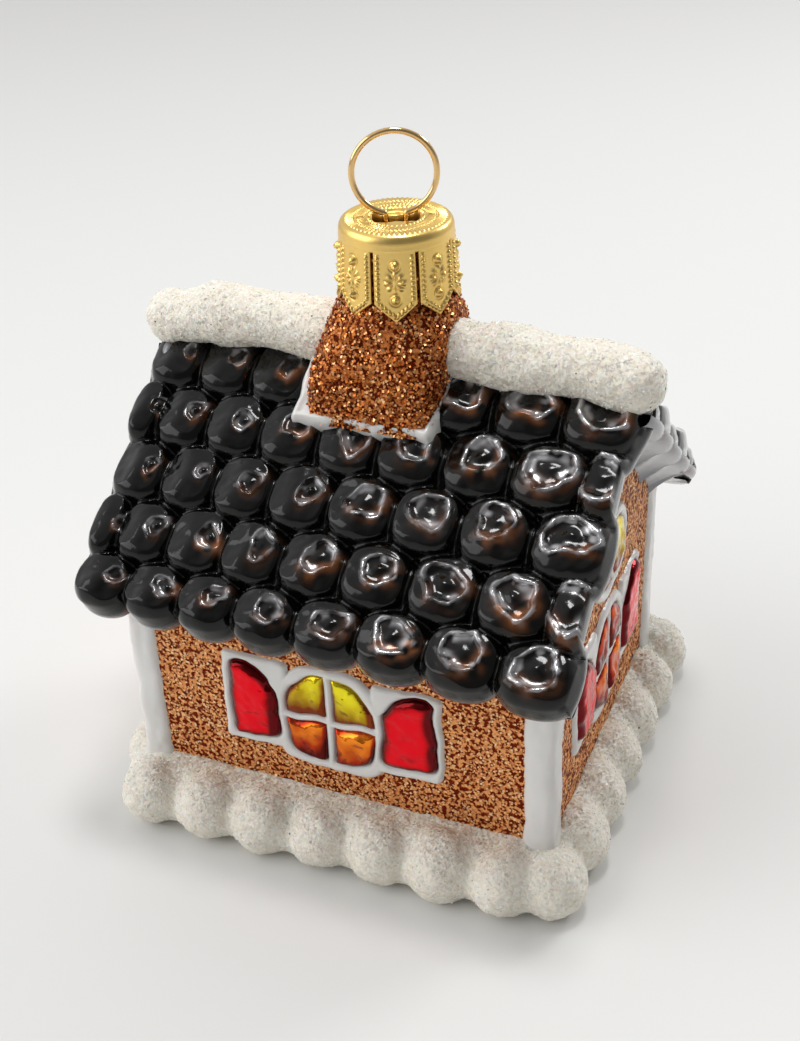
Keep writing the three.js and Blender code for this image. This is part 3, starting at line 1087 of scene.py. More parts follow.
@dataclass
class SnowFoot:
    """The plinth with a string of soft snow lumps round it."""

    rows: tuple = (
        ((-22.9, -24.4), (20.9, -24.4), 7),
        ((26.0, -22.8), (26.4, 22.6), 7),
        ((22.9, 24.4), (-20.9, 24.4), 7),
        ((-26.4, 22.8), (-26.4, -17.2), 6),
    )
    radius: float = 4.15
    middle: float = 3.5
    half_height: float = 4.05
    voxel: float = 0.42
    soften: tuple[float, int] = (0.6, 9)
    grain: tuple = ((3.0, 0.2), (1.1, 0.1), (0.5, 0.09))
    section: tuple = (
        (-4.0, 0.6), (0.0, 0.3), (3.2, 0.7), (4.0, 2.4),
        (3.7, 4.2), (2.4, 5.8), (0.9, 6.9), (-4.0, 7.3),
    )

    def middles(self) -> Array:
        """Middles of the lumps, once round the house.

        Returns:
            Points on the table.
        """
        spots = []
        for start, end, count in self.rows:
            share = np.linspace(0, 1, count)[:, None]
            spots.append(np.array(start) * (1 - share) + np.array(end) * share)
        return np.concatenate(spots)

    def lump(self, spot: Array, size: float) -> Sheet:
        """One lump as a closed ball.

        Args:
            spot: Its middle on the table.
            size: Its radius.

        Returns:
            The sheet.
        """
        turn = round_turn(24)[:, None]
        tilt = np.linspace(-np.pi / 2, np.pi / 2, 15)[None, :]
        height = self.half_height * size / self.radius
        return Sheet(
            stack(
                spot[0] + size * np.cos(turn) * np.cos(tilt),
                spot[1] + size * np.sin(turn) * np.cos(tilt),
                self.middle + height * np.sin(tilt),
            ),
            closed_first=True,
        )

    def plinth(self, house: House) -> Sheet:
        """The ledge behind the lumps as a closed tube that runs round the walls.

        Args:
            house: The shared sizes.

        Returns:
            The sheet.
        """
        cos, sin, reach = squared_circle(round_turn(160)[:, None], 8.0)
        out, up = np.array(self.section).T
        wide = (house.half_length - 0.2 + out) * cos * reach
        deep = (house.half_depth + 1.9 + out) * sin * reach
        return Sheet(stack(wide, deep, up), closed_first=True, closed_second=True)

    def build(self, house: House) -> bpy.types.Object:
        """Melts the lumps and the plinth together and frosts them.

        Args:
            house: The shared sizes.

        Returns:
            The piece.
        """
        random = np.random.default_rng(11)
        sizes = self.radius * (1 + random.uniform(-0.04, 0.05, 27))
        lumps = [self.lump(spot, size) for spot, size in zip(self.middles(), sizes)]
        piece = make_piece("snow_foot", [self.plinth(house), *lumps])
        remesh = piece.modifiers.new("melt", "REMESH")
        remesh.mode, remesh.voxel_size = "VOXEL", self.voxel * MM
        soften = piece.modifiers.new("soften", "SMOOTH")
        soften.factor, soften.iterations = self.soften
        apply_modifiers(piece)
        roughen(piece, self.grain, 21)
        points = mesh_points(piece)
        points[:, 2] = np.maximum(points[:, 2], 0.0)
        move_points(piece, points)
        shade_smooth(piece)
        return piece


@dataclass
class Wall:
    """One flat wall under its copper glitter."""

    house: House
    side: Side
    foot: float = 4.6
    step: float = 0.5

    def build(self) -> bpy.types.Object:
        """Makes the wall's face, up to the roof.

        Returns:
            The piece.
        """
        house = self.house
        is_gable = self.side.value % 2 == 1
        half = house.half_depth if is_gable else house.half_length
        along = np.linspace(-half + 0.4, half - 0.4, int(2 * half / self.step))
        eave = house.eave_z + (house.eave_y - house.half_depth) * math.tan(house.pitch) - 2.9
        climb = math.tan(house.pitch) if is_gable else 0.0
        top = eave + climb * (half - np.abs(along))
        share = np.linspace(0, 1, int((top.max() - self.foot) / self.step))
        up = mix(self.foot, top[:, None], share[None, :])
        u = np.broadcast_to(along[:, None], up.shape)
        place = stack(u, up, self.side.value * 50.0)
        out = 0.05 * noise(place, 1.6, 5) + 0.035 * noise(place, 0.7, 6)
        name = f"wall_{self.side.name.lower()}"
        return make_piece(name, [Sheet(house.on_wall(u, up, out, self.side))])


@dataclass
class CornerPost:
    """One of the four rounded white posts."""

    house: House
    sign_x: int
    sign_y: int
    half: float = 1.95
    proud: float = 0.6
    roundness: float = 3.2
    foot: float = 4.6

    def build(self) -> bpy.types.Object:
        """Makes the post from the foot into the roof.

        Returns:
            The piece.
        """
        house = self.house
        up = np.linspace(self.foot, house.eave_z + 1.2, 90)[None, :]
        cos, sin, reach = squared_circle(round_turn(56)[:, None], self.roundness)
        seed = 31 + self.sign_x + 3 * self.sign_y
        ring = stack(cos * 3, sin * 3, up)
        size = self.half * (1 + 0.1 * noise(ring, 3.4, seed) + 0.045 * noise(ring, 1.1, seed + 1))
        flare = 1 + 0.12 * smoothstep(9.0, 5.5, up)
        offset = self.half - self.proud
        x = self.sign_x * (house.half_length - offset) + size * flare * cos * reach
        y = self.sign_y * (house.half_depth - offset) + size * flare * sin * reach
        ends = {-1: "front", 1: "back"}[self.sign_y], {-1: "left", 1: "right"}[self.sign_x]
        name = "post_" + "_".join(ends)
        return make_piece(name, [Sheet(stack(x, y, up), closed_first=True)])


# ---- Windows --------------------------------------------------------------------------------


@dataclass
class Pane:
    """One field of coloured glass in a window: where it is inside, and how far it swells."""

    name: str
    inside: Array
    slot: Slot
    swell: float = 0.75
    lean: float = 0.0
    upright: float = 0.9
    waves: float = 2.3


@dataclass
class WindowGroup:
    """Two shutters and a leaded window on one raised frame of white paint."""

    house: House
    side: Side
    step: float = 0.14
    paint: float = 0.55
    base: float = -0.35

    def __post_init__(self) -> None:
        """Lays out the grid that every piece of the group is measured on."""
        self.middle = 19.2 if self.side.value % 2 else 18.0
        u = np.arange(-15.0, 14.2, self.step)
        v = np.arange(-9.0, 8.4, self.step)
        self.u, self.v = np.meshgrid(u, v, indexing="ij")
        place = stack(self.u, self.v, self.side.value * 40.0)
        self.sway_u = 0.32 * noise(place, 3.1, 41) + 0.1 * noise(place, 1.0, 42)
        self.sway_v = 0.32 * noise(place + 70.0, 3.1, 43) + 0.1 * noise(place + 70.0, 1.0, 44)

    def arch(self, box: Sequence[float], roundness: float) -> Array:
        """Inside distance to an arch: straight sides below, an oval above the middle.

        Args:
            box: Left, right, bottom and top.
            roundness: How square the oval is.

        Returns:
            The distances.
        """
        left, right, bottom, top = box
        half_u, half_v = (right - left) / 2, (top - bottom) / 2
        u = np.abs(self.u + self.sway_u - (left + right) / 2) / half_u
        v = (self.v + self.sway_v - (bottom + top) / 2) / half_v
        upper, lower = (
            (u**power + np.abs(v) ** power) ** (1 / power)
            for power in (roundness, roundness + 1.6)
        )
        return (1 - np.where(v > 0, upper, lower)) * min(half_u, half_v)

    def shutter(self, outer: float, inner: float) -> Array:
        """Inside distance to one shutter, whose top falls towards the window.

        Args:
            outer: Its outer edge.
            inner: Its inner edge.

        Returns:
            The distances.
        """
        sides = sorted((outer, inner))
        box = round_box(self.u + self.sway_u, self.v + self.sway_v, (*sides, -4.5, 5.6), 1.1)
        toward = (self.u + self.sway_u - outer) / (inner - outer)
        fall = 5.9 - 4.6 * np.clip(toward - 0.12, 0, 1) ** 2.2
        return np.minimum(box, (fall - self.v - self.sway_v) * 0.85)

    def panes(self) -> list[Pane]:
        """Every field of coloured glass.

        Returns:
            The panes, on the group's grid.
        """
        arch = self.arch((-6.05, 4.75, -6.0, 5.7), 2.3)
        upright = np.abs(self.u + 0.65 + 0.4 * self.sway_u) - 0.5
        wave = 0.35 * np.sin((self.u + 0.65) * 1.15)
        cross = self.v + 0.45 + wave * 0.6
        upper = np.minimum(arch, np.minimum(upright, cross - 0.5))
        lower = np.minimum(arch, np.minimum(upright, -cross - 0.5))
        is_left = self.u < -0.65
        upper_slot = Slot.ORANGE if self.side.value % 2 else Slot.YELLOW
        made = []
        for word, here in (("left", is_left), ("right", ~is_left)):
            upper_here, lower_here = np.where(here, upper, -9.0), np.where(here, lower, -9.0)
            made.append(Pane(f"upper_{word}", upper_here, upper_slot, 0.7, 0.25))
            made.append(Pane(f"lower_{word}", lower_here, Slot.ORANGE, 0.9, 0.5))
        for word, outer, inner in (("left", -12.9, -7.1), ("right", 11.9, 5.7)):
            inside = self.shutter(outer, inner)
            made.append(Pane(f"shutter_{word}", inside, Slot.RED, 1.0, upright=0.2, waves=1.4))
        return made

    def frame_inside(self) -> Array:
        """Inside distance to the whole painted frame, holes not counted.

        Returns:
            The distances.
        """
        u, v = self.u + self.sway_u * 0.8, self.v + self.sway_v * 0.8
        left = round_box(u, v, (-13.9, -5.6, -5.7, 6.6), 0.8)
        right = round_box(u, v, (4.6, 12.8, -5.8, 6.2), 0.8)
        middle = self.arch((-7.3, 6.0, -7.5, 6.9), 2.6)
        return np.maximum(np.maximum(left, right), middle)

    def piece(self, name: str, out: Array, tone: Array, least: float) -> bpy.types.Object:
        """Cuts one piece out of the grid, along a line below the wall's surface.

        Args:
            name: The piece's name.
            out: Heights out of the wall.
            tone: Shade at each place, from 0 to 1.
            least: The lowest height that is kept.

        Returns:
            The piece.
        """
        points = self.house.on_wall(self.u, self.middle + self.v, out, self.side)
        keep = touched_faces(out > least)
        return make_piece(name, [Sheet(points, keep=keep, layers={"tone": tone})])

    def build(self) -> list[tuple[bpy.types.Object, Slot]]:
        """Makes the frame and every pane, each with its slot.

        Returns:
            The pieces with their slots.
        """
        word = self.side.name.lower()
        panes = self.panes()
        hole = np.max([pane.inside for pane in panes], axis=0)
        edge = np.minimum(self.frame_inside(), -hole)
        place = stack(self.u, self.v, self.side.value * 40.0)
        paint = self.paint * (1 + 0.12 * noise(place, 1.5, 45))
        out = np.where(edge > 0, rolled_edge(edge / 0.62) * paint, edge * 1.4)
        made = [(self.piece(f"frame_{word}", out, out, self.base), Slot.PAINT)]
        for pane in panes:
            inside = pane.inside
            flank = np.clip(inside / 1.15, 0, 1)
            rows = self.v[inside > 0]
            low, high = rows.min(), rows.max()
            climb = np.clip((self.v - low) / (high - low), 0, 1)
            swell = pane.swell * rolled_edge(flank) * (1 + pane.lean * (0.5 - climb))
            # Painted shade and highlight: tone climbs from the dark bottom of a pane to its light
            # top, and drops near its edges.
            tone = pane.upright * climb + (1 - pane.upright) * smoothstep(0.5, 1.5, inside)
            tone = tone - 0.45 * smoothstep(0.55, 0.1, inside)
            dent = pane.waves * (0.1 * noise(place, 1.5, 46) + 0.05 * noise(place, 0.7, 47))
            out = np.where(inside > 0, 0.08 + swell + dent * flank, 0.08 + inside * 1.5)
            made.append((self.piece(f"{pane.name}_{word}", out, tone, self.base), pane.slot))
        return made


@dataclass
class AtticWindow(WindowGroup):
    """The small arched window high in a gable."""

    def __post_init__(self) -> None:
        """Lays out the smaller grid."""
        super().__post_init__()
        self.middle = 32.9
        inside = (np.abs(self.u[:, 0]) < 7.0), (np.abs(self.v[0]) < 6.0)
        for name in ("u", "v", "sway_u", "sway_v"):
            setattr(self, name, getattr(self, name)[inside[0]][:, inside[1]])

    def panes(self) -> list[Pane]:
        """Two fields: amber, and a small red one beside it.

        Returns:
            The panes, on the smaller grid.
        """
        arch = self.arch((-4.7, 4.6, -3.7, 3.7), 2.2)
        split = self.u + 1.5 + 0.5 * self.v
        amber = np.minimum(arch, split - 0.45)
        red = np.minimum(arch, -split - 0.45)
        return [
            Pane("attic_amber", amber, Slot.YELLOW, 0.7, 0.3),
            Pane("attic_red", red, Slot.RED, 0.6, 0.3),
        ]

    def frame_inside(self) -> Array:
        """Inside distance to the painted border."""
        return self.arch((-5.9, 5.8, -4.9, 4.9), 2.4)

    def build(self) -> list[tuple[bpy.types.Object, Slot]]:
        """Makes the border and both fields.

        Returns:
            The pieces with their slots.
        """
        made = super().build()
        made[0][0].name = f"attic_frame_{self.side.name.lower()}"
        return made


# ---- Roof -----------------------------------------------------------------------------------


# Painted reflection for the roof's underside steps and the gable tips: steel-grey metal in place of
# black lacquer, with no silver crest.
UNDERSIDE = {"wear_and_sheen": 2.3, "warm": -0.6, "crest": 0.0}


@dataclass
class RoofSlope:
    """One slope: five staggered rows of swollen scallops with dented crowns."""

    house: House
    is_back: bool
    rows: int = 5
    row_step: float = 7.03
    first_row: float = 1.2
    per_row: int = 8
    growth: float = 0.145
    reach: float = 0.62
    half: float = 4.6
    dome: float = 3.95
    floor: float = -2.2
    lean: float = 0.12
    crease: float = -0.9
    hang: float = 2.0
    bulge: float = 0.7
    inset: float = 0.75
    step: float = 0.158
    squeeze: tuple[float, float] = (1.5, 0.65)
    rim: tuple = (
        (0.16, -1.4), (0.14, -1.75), (0.08, -2.2), (0.0, -2.65), (-0.1, -3.0), (-0.22, -3.3),
        (-0.5, -3.6), (-0.9, -4.0), (-1.1, -4.8), (-1.0, -5.7), (-0.7, -6.6)
    )
    tip_middle: tuple[float, float, float] = (26.9, 1.0, 49.9)
    tip_half: tuple[float, float, float] = (1.5, 3.2, 2.6)

    def edges(self, row: int) -> Array:
        """Where the scallops of one row meet.

        Args:
            row: The row, counted from the eave.

        Returns:
            Places along the eave, with half scallops at both verges in every second row.
        """
        odd = row % 2
        share = np.clip((np.arange(self.per_row + 1 + odd) - 0.5 * odd) / self.per_row, 0, 1)
        left, right = self.house.verge
        return left + (right - left) * share * (1 - self.growth + self.growth * share)

    def outline(self, x: Array) -> Array:
        """The lower edge of the roof, one curve for each scallop.

        Args:
            x: Places along the eave.

        Returns:
            Places up the slope.
        """
        edges = self.edges(0)
        middles, halves = (edges[1:] + edges[:-1]) / 2, np.diff(edges) / 2
        apart = np.abs(x[..., None] - middles) / halves
        arcs = ball_top(apart).max(axis=-1)
        return self.crease - (self.hang + 0.5 * self.is_back) * arcs

    def ends(self, up: Array) -> Array:
        """How far the last scallops of a row stand out past the verge.

        Args:
            up: Places up the slope.

        Returns:
            The distances.
        """
        rows = np.arange(0, self.rows, 1 if self.is_back else 2)
        apart = np.abs(up[..., None] - self.first_row - self.row_step * rows) / self.half
        return self.bulge * ball_top(apart).max(axis=-1)

    def crown(
        self, du: Array, dv: Array, share: float, random: np.random.Generator
    ) -> tuple[Array, Array, Array]:
        """The dented crown of one scallop.

        Args:
            du: Places across from the scallop's middle.
            dv: Places up from it.
            share: Where the scallop is along the eave, from 0 to 1.
            random: Draws the dent's shape.

        Returns:
            Heights to add, where the lacquer shows wear and painted sheen, and where the dent's
            crest shows silver, partly wear and partly painted highlight.
        """
        corners = int(random.integers(5, 8))
        size = 1.25 + 1.45 * share + random.uniform(-0.3, 0.25)
        shift_u = 1.9 * (1 - share) ** 1.2 + random.uniform(-0.2, 0.2)
        shift_v = 0.5 + random.uniform(-0.3, 0.3)
        turn = random.uniform(0, 2 * np.pi)
        squeeze = 0.66 + 0.42 * share
        place = stack(du, dv, 9.0 * turn)
        u = (du - shift_u + 0.4 * noise(place, 1.7, 67)) / squeeze
        v = (dv - shift_v + 0.4 * noise(place, 1.7, 68)) / 0.98
        angle = np.arctan2(v, u) + turn
        sector = 2 * np.pi / corners
        sharp = np.cos(np.pi / corners) / np.cos(np.mod(angle, sector) - sector / 2)
        wobble = 1 + 0.10 * np.sin(2 * angle + 5 * turn) + 0.07 * np.sin(3 * angle + turn)
        border = size * (0.4 + 0.6 * sharp) * wobble
        away = np.hypot(u, v) / border
        depth = random.uniform(0.5, 0.95) * (0.35 + 0.65 * share)
        bowl = -depth * np.clip(1 - away**2, 0, 1) ** 0.62
        crumple = 1 + 0.6 * noise(place, 0.55, 64)
        ring = bell(away, 1.03, 0.13)
        rim = (0.08 + 0.14 * share) * crumple * ring
        # Silver on the dent's rim and inside its bowl: partly wear, partly painted highlight,
        # stronger towards the right end of the roof.
        bare_and_glint = np.clip(0.1 + 0.75 * share + 1.1 * noise(place + 5.0, 1.0, 65), 0, 1)
        inner = bell(away, 0.82, 0.24) * np.clip(1.5 * noise(place, 0.8, 69), 0, 1)
        bare_and_glint = random.uniform(0.4, 1.0) * bare_and_glint * smoothstep(0.35, 0.95, ring * crumple)
        crest = np.maximum(bare_and_glint, (0.3 + 0.5 * share) * inner)
        knob = random.uniform(0.1, 0.4) * bell(away, 0.0, 0.35)
        # Metal showing on the lower-right side of each crown: partly wear, partly painted
        # reflection.
        leaned = smoothstep(-1.2, 1.0, (u * 0.75 - v) / border)
        patchy = np.clip(0.45 + 1.1 * noise(stack(du, dv, 7.0 * turn), 1.0, 66), 0, 1)
        wear_and_sheen_share = patchy * leaned * bell(away, 0.95, 0.36)
        return bowl + rim + knob, random.uniform(0.2, 1.2) * wear_and_sheen_share, crest

    def facets(self, du: Array, dv: Array, share: float, random: np.random.Generator) -> Array:
        """The flattened sides of one scallop, as a limit on its height.

        Args:
            du: Places across from the scallop's middle.
            dv: Places up from it.
            share: Where the scallop is along the eave, from 0 to 1.
            random: Draws the sides' tilts.

        Returns:
            The limit.
        """
        limit = np.full(du.shape, 9.0)
        top = self.dome * 0.93
        sides = ((-1.0, 0.15, 0.42 - 0.25 * share), (0.55, 0.8, 0.22), (0.9, -0.35, 0.3))
        for side_u, side_v, steep in sides:
            steep = steep + random.uniform(-0.05, 0.07)
            toward = (du * side_u + dv * side_v) / math.hypot(side_u, side_v)
            plane = top + 0.25 - steep * (toward + 0.35)
            limit = -0.22 * np.log(np.exp(-limit / 0.22) + np.exp(-plane / 0.22))
        return limit

    def relief(self, x: Array, up: Array) -> tuple[Array, dict[str, Array]]:
        """Height of the roof's skin across the slope.

        Args:
            x: Places along the eave.
            up: Places up the slope.

        Returns:
            The heights, and for each place the lacquer's wear with painted sheen, its painted
            reflection tint from steel to copper, and its silver crest with painted highlight.
        """
        random = np.random.default_rng(5 + self.is_back)
        height = np.full(x.shape, self.floor)
        layers = {name: np.zeros(x.shape) for name in UNDERSIDE}
        left, right = self.house.verge
        for row in range(self.rows):
            edges = self.edges(row)
            middle_v = self.first_row + row * self.row_step
            for start, end in itertools.pairwise(edges):
                middle_u, half_u = (start + end) / 2, (end - start) / 2
                du, dv = x - middle_u, up - middle_v
                across, along = np.abs(du) / (half_u + self.reach), np.abs(dv) / self.half
                away = across**2.6 + along**2.6
                tile = np.clip(1 - away, 0, 1)
                dome = np.clip(1 - away / 0.88, 0, 1) ** 0.42
                lip = 0.30 * np.clip(tile / 0.07, 0, 1) ** 0.6 + 0.10 * np.clip(tile / 0.2, 0, 1)
                share = (middle_u - left) / (right - left)
                dent, wear_and_sheen_share, bare_and_glint = self.crown(du, dv, share, random)
                lies = self.floor - self.lean * dv + random.uniform(-0.12, 0.12)
                swell = self.dome * random.uniform(0.97, 1.05) * np.maximum(dome, lip)
                swell = np.minimum(swell, self.facets(du, dv, share, random))
                whole = lies + swell + dent * smoothstep(0.25, 0.6, dome)
                here = (tile > 0) & (whole > height)
                height = np.where(here, whole, height)
                on_top = smoothstep(0.3, 0.7, dome)
                # Painted reflection: copper tint towards each scallop's lower right, steel grey
                # towards its upper left.
                warmth = 0.5 + 0.5 * np.tanh(1.4 * (du * 0.5 - dv) / 2.0)
                for name, value in zip(layers, (wear_and_sheen_share * on_top, warmth, bare_and_glint * on_top)):
                    layers[name] = np.where(here, value, layers[name])
        return height, layers

    def build(self) -> bpy.types.Object:
        """Makes the slope with its hanging edge, its verges and the start of its underside.

        Returns:
            The piece.
        """
        house = self.house
        left, right = house.verge
        columns = int((right - left) / self.step)
        top = house.slope_length + 0.4
        lowest = self.crease - self.hang - 0.5 * self.is_back
        lines = int((top - lowest) / self.step)
        across = np.linspace(0, 1, columns)[:, None]
        level = np.linspace(0, 1, lines)[None, :]
        up = mix(lowest, top, level)
        ends = self.ends(up)
        inset = self.inset * smoothstep(31.0, 26.0, up)
        x = (left - ends) + (right - left + 2 * ends - inset) * across
        up = up + (self.outline(x) - lowest) * (1 - level) ** 5
        height, layers = self.relief(x, up)
        skin = stack(x, up, 20.0 * self.is_back)
        height += 0.09 * noise(skin, 2.1, 61) + 0.045 * noise(skin, 0.9, 62)
        height += 0.03 * noise(skin, 0.42, 63) * smoothstep(0.0, 0.5, layers["wear_and_sheen"])
        for number, (out, drop) in enumerate(self.rim):
            # Painted reflection on the underside steps, growing to full strength over the first
            # four steps.
            edge = {**UNDERSIDE, "wear_and_sheen": UNDERSIDE["wear_and_sheen"] * smoothstep(0, 4, number)}
            low_h = np.minimum(height[:, :1], max(drop, -4.0))
            x = np.hstack([x[:, :1], x])
            up = np.hstack([up[:, :1] - out, up])
            height = np.hstack([low_h, height])
            swing = out * (0.3 + 1.0 * self.ends(up[:1]) / self.bulge)
            sunk = max(drop, -3.3) + min(drop + 3.3, 0.0) * smoothstep(-2.0, 5.0, up[:1])
            side = np.minimum(height[[0, -1]], sunk)
            x = np.vstack([x[:1] - swing, x, x[-1:] + swing])
            up = np.vstack([up[:1], up, up[-1:]])
            height = np.vstack([side[:1], height, side[1:]])
            for key, value in edge.items():
                layers[key] = np.pad(layers[key], ((1, 1), (1, 0)), constant_values=value)
        if not self.is_back:
            share = np.clip((x - left) / (right - left), 0, 1)
            up = up + mix(*self.squeeze, share) * smoothstep(5.5, -2.5, up)
        points = house.on_slope(x, up, height, self.is_back)
        name = "roof_back" if self.is_back else "roof_front"
        return make_piece(name, [Sheet(points, layers=layers), self.tip()])

    def tip(self) -> Sheet:
        """The swelling under the ridge that closes one gable's peak.

        Returns:
            The sheet.
        """
        down = np.linspace(0.05, np.pi - 0.05, 24)[:, None]
        turn = round_turn(48)[None, :]
        ball = stack(np.sin(down) * np.cos(turn), np.sin(down) * np.sin(turn), np.cos(down))
        points = np.array(self.tip_middle) + np.array(self.tip_half) * ball
        if self.is_back:
            points = points * np.array([-1.0, -1.0, 1.0])
        # Painted reflection: the tip takes the underside's steel-grey tint.
        layers = {key: np.full(ball.shape[:-1], shade) for key, shade in UNDERSIDE.items()}
        return Sheet(points, closed_second=True, layers=layers)


@dataclass
class RidgeSnow:
    """The roll of snow along the ridge."""

    house: House
    height: float = 55.1
    radius: float = 3.4
    sway: float = 0.25
    fall: float = 0.013
    grain: tuple = ((4.5, 0.32), (1.7, 0.16), (0.6, 0.1))

    def build(self) -> bpy.types.Object:
        """Makes the roll with its round ends.

        Returns:
            The piece.
        """
        start, end = self.house.ridge_ends
        middle, half = (start + end) / 2, (end - start) / 2 - self.radius
        turn = round_turn(96)[None, :]
        cap = np.linspace(0.02, np.pi / 2, 16)
        ends = np.sin(cap) ** 0.75
        sizes = np.concatenate([ends, np.ones(240), ends[::-1]])[:, None]
        over = self.radius * np.cos(cap)
        run = np.linspace(-half, half, 242)[1:-1]
        x = np.concatenate([-half - over, run, half + over[::-1]])[:, None]
        r = self.radius * sizes * (1 + 0.05 * np.sin(x * 0.55))
        lift = self.sway * np.sin(x * 0.3) - self.fall * x - smoothstep(21.0, 27.5, np.abs(x))
        points = stack(middle + x, -r * np.cos(turn), self.height + lift + r * np.sin(turn))
        piece = make_piece("ridge_snow", [Sheet(points, closed_second=True)])
        roughen(piece, self.grain, 71)
        return piece


@dataclass
class Flashing:
    """The white paint round the chimney's foot on one slope."""

    house: House
    is_back: bool
    box: tuple[float, float, float, float] = (-8.9, 7.5, 23.4, 35.0)
    lies: float = 1.35
    step: float = 0.16

    def build(self) -> bpy.types.Object:
        """Makes the strip of thick paint.

        Returns:
            The piece.
        """
        u = np.arange(self.box[0] - 1.5, self.box[1] + 1.5, self.step)
        v = np.arange(self.box[2] - 1.5, self.house.slope_length, self.step)
        u, v = np.meshgrid(u, v, indexing="ij")
        place = stack(u, v, 9.0 * self.is_back)
        sway = 0.24 * noise(place, 2.6, 81) + 0.1 * noise(place, 0.9, 82)
        inside = round_box(u + sway, v + sway, self.box, 0.7)
        thick = 0.6 * rolled_edge(inside / 0.9) + 0.32 * bell(inside, 0.6, 0.35)
        out = self.lies + thick + 0.16 * noise(place, 1.8, 83)
        out = np.where(inside > 0, out, self.lies + 6.0 * inside)
        keep = touched_faces(out > self.lies - 3.4)
        points = self.house.on_slope(u, v, out, False)
        if self.is_back:
            points = points * np.array([1.0, -1.0, 1.0])
            points = points[::-1]
            keep = keep[::-1]
        name = "flashing_back" if self.is_back else "flashing_front"
        return make_piece(name, [Sheet(points, keep=keep)])


@dataclass
class Chimney:
    """The glittering chimney, square at the roof and round where the neck begins."""

    house: House
    foot: tuple[float, float, float, float] = (-0.3, 7.75, 8.4, 47.9)
    collar: tuple[float, float, float] = (0.7, 6.8, 59.2)
    corners: tuple[float, float] = (7.0, 2.2)
    neck: float = 5.5
    grain: tuple = ((2.2, 0.16), (0.8, 0.12), (0.45, 0.08))

    def build(self) -> bpy.types.Object:
        """Makes the column from inside the roof to inside the cap.

        Returns:
            The piece.
        """
        foot_x, foot_wide, foot_deep, foot_z = self.foot
        collar_x, collar, collar_z = self.collar
        rise = np.linspace(0, 1, 96)[None, :]
        taper = rise**1.5
        cos, sin, reach = squared_circle(round_turn(200)[:, None], mix(*self.corners, taper))
        x = mix(foot_x, collar_x, taper) + mix(foot_wide, collar, taper) * cos * reach
        y = mix(foot_deep, collar, taper) * sin * reach
        z = mix(foot_z, collar_z, rise)
        neck_up = np.array([60.2, 61.2, self.house.cap_top - 2.2])[None, :]
        neck_size = np.array([self.neck + 0.9, self.neck + 0.2, self.neck])[None, :]
        body = stack(x, y, z)
        neck = stack(self.house.neck_x + neck_size * cos, neck_size * sin, neck_up)
        piece = make_piece("chimney", [Sheet(np.hstack([body, neck]), closed_first=True)])
        roughen(piece, self.grain, 91)
        return piece


# ---- Cap and loop ---------------------------------------------------------------------------


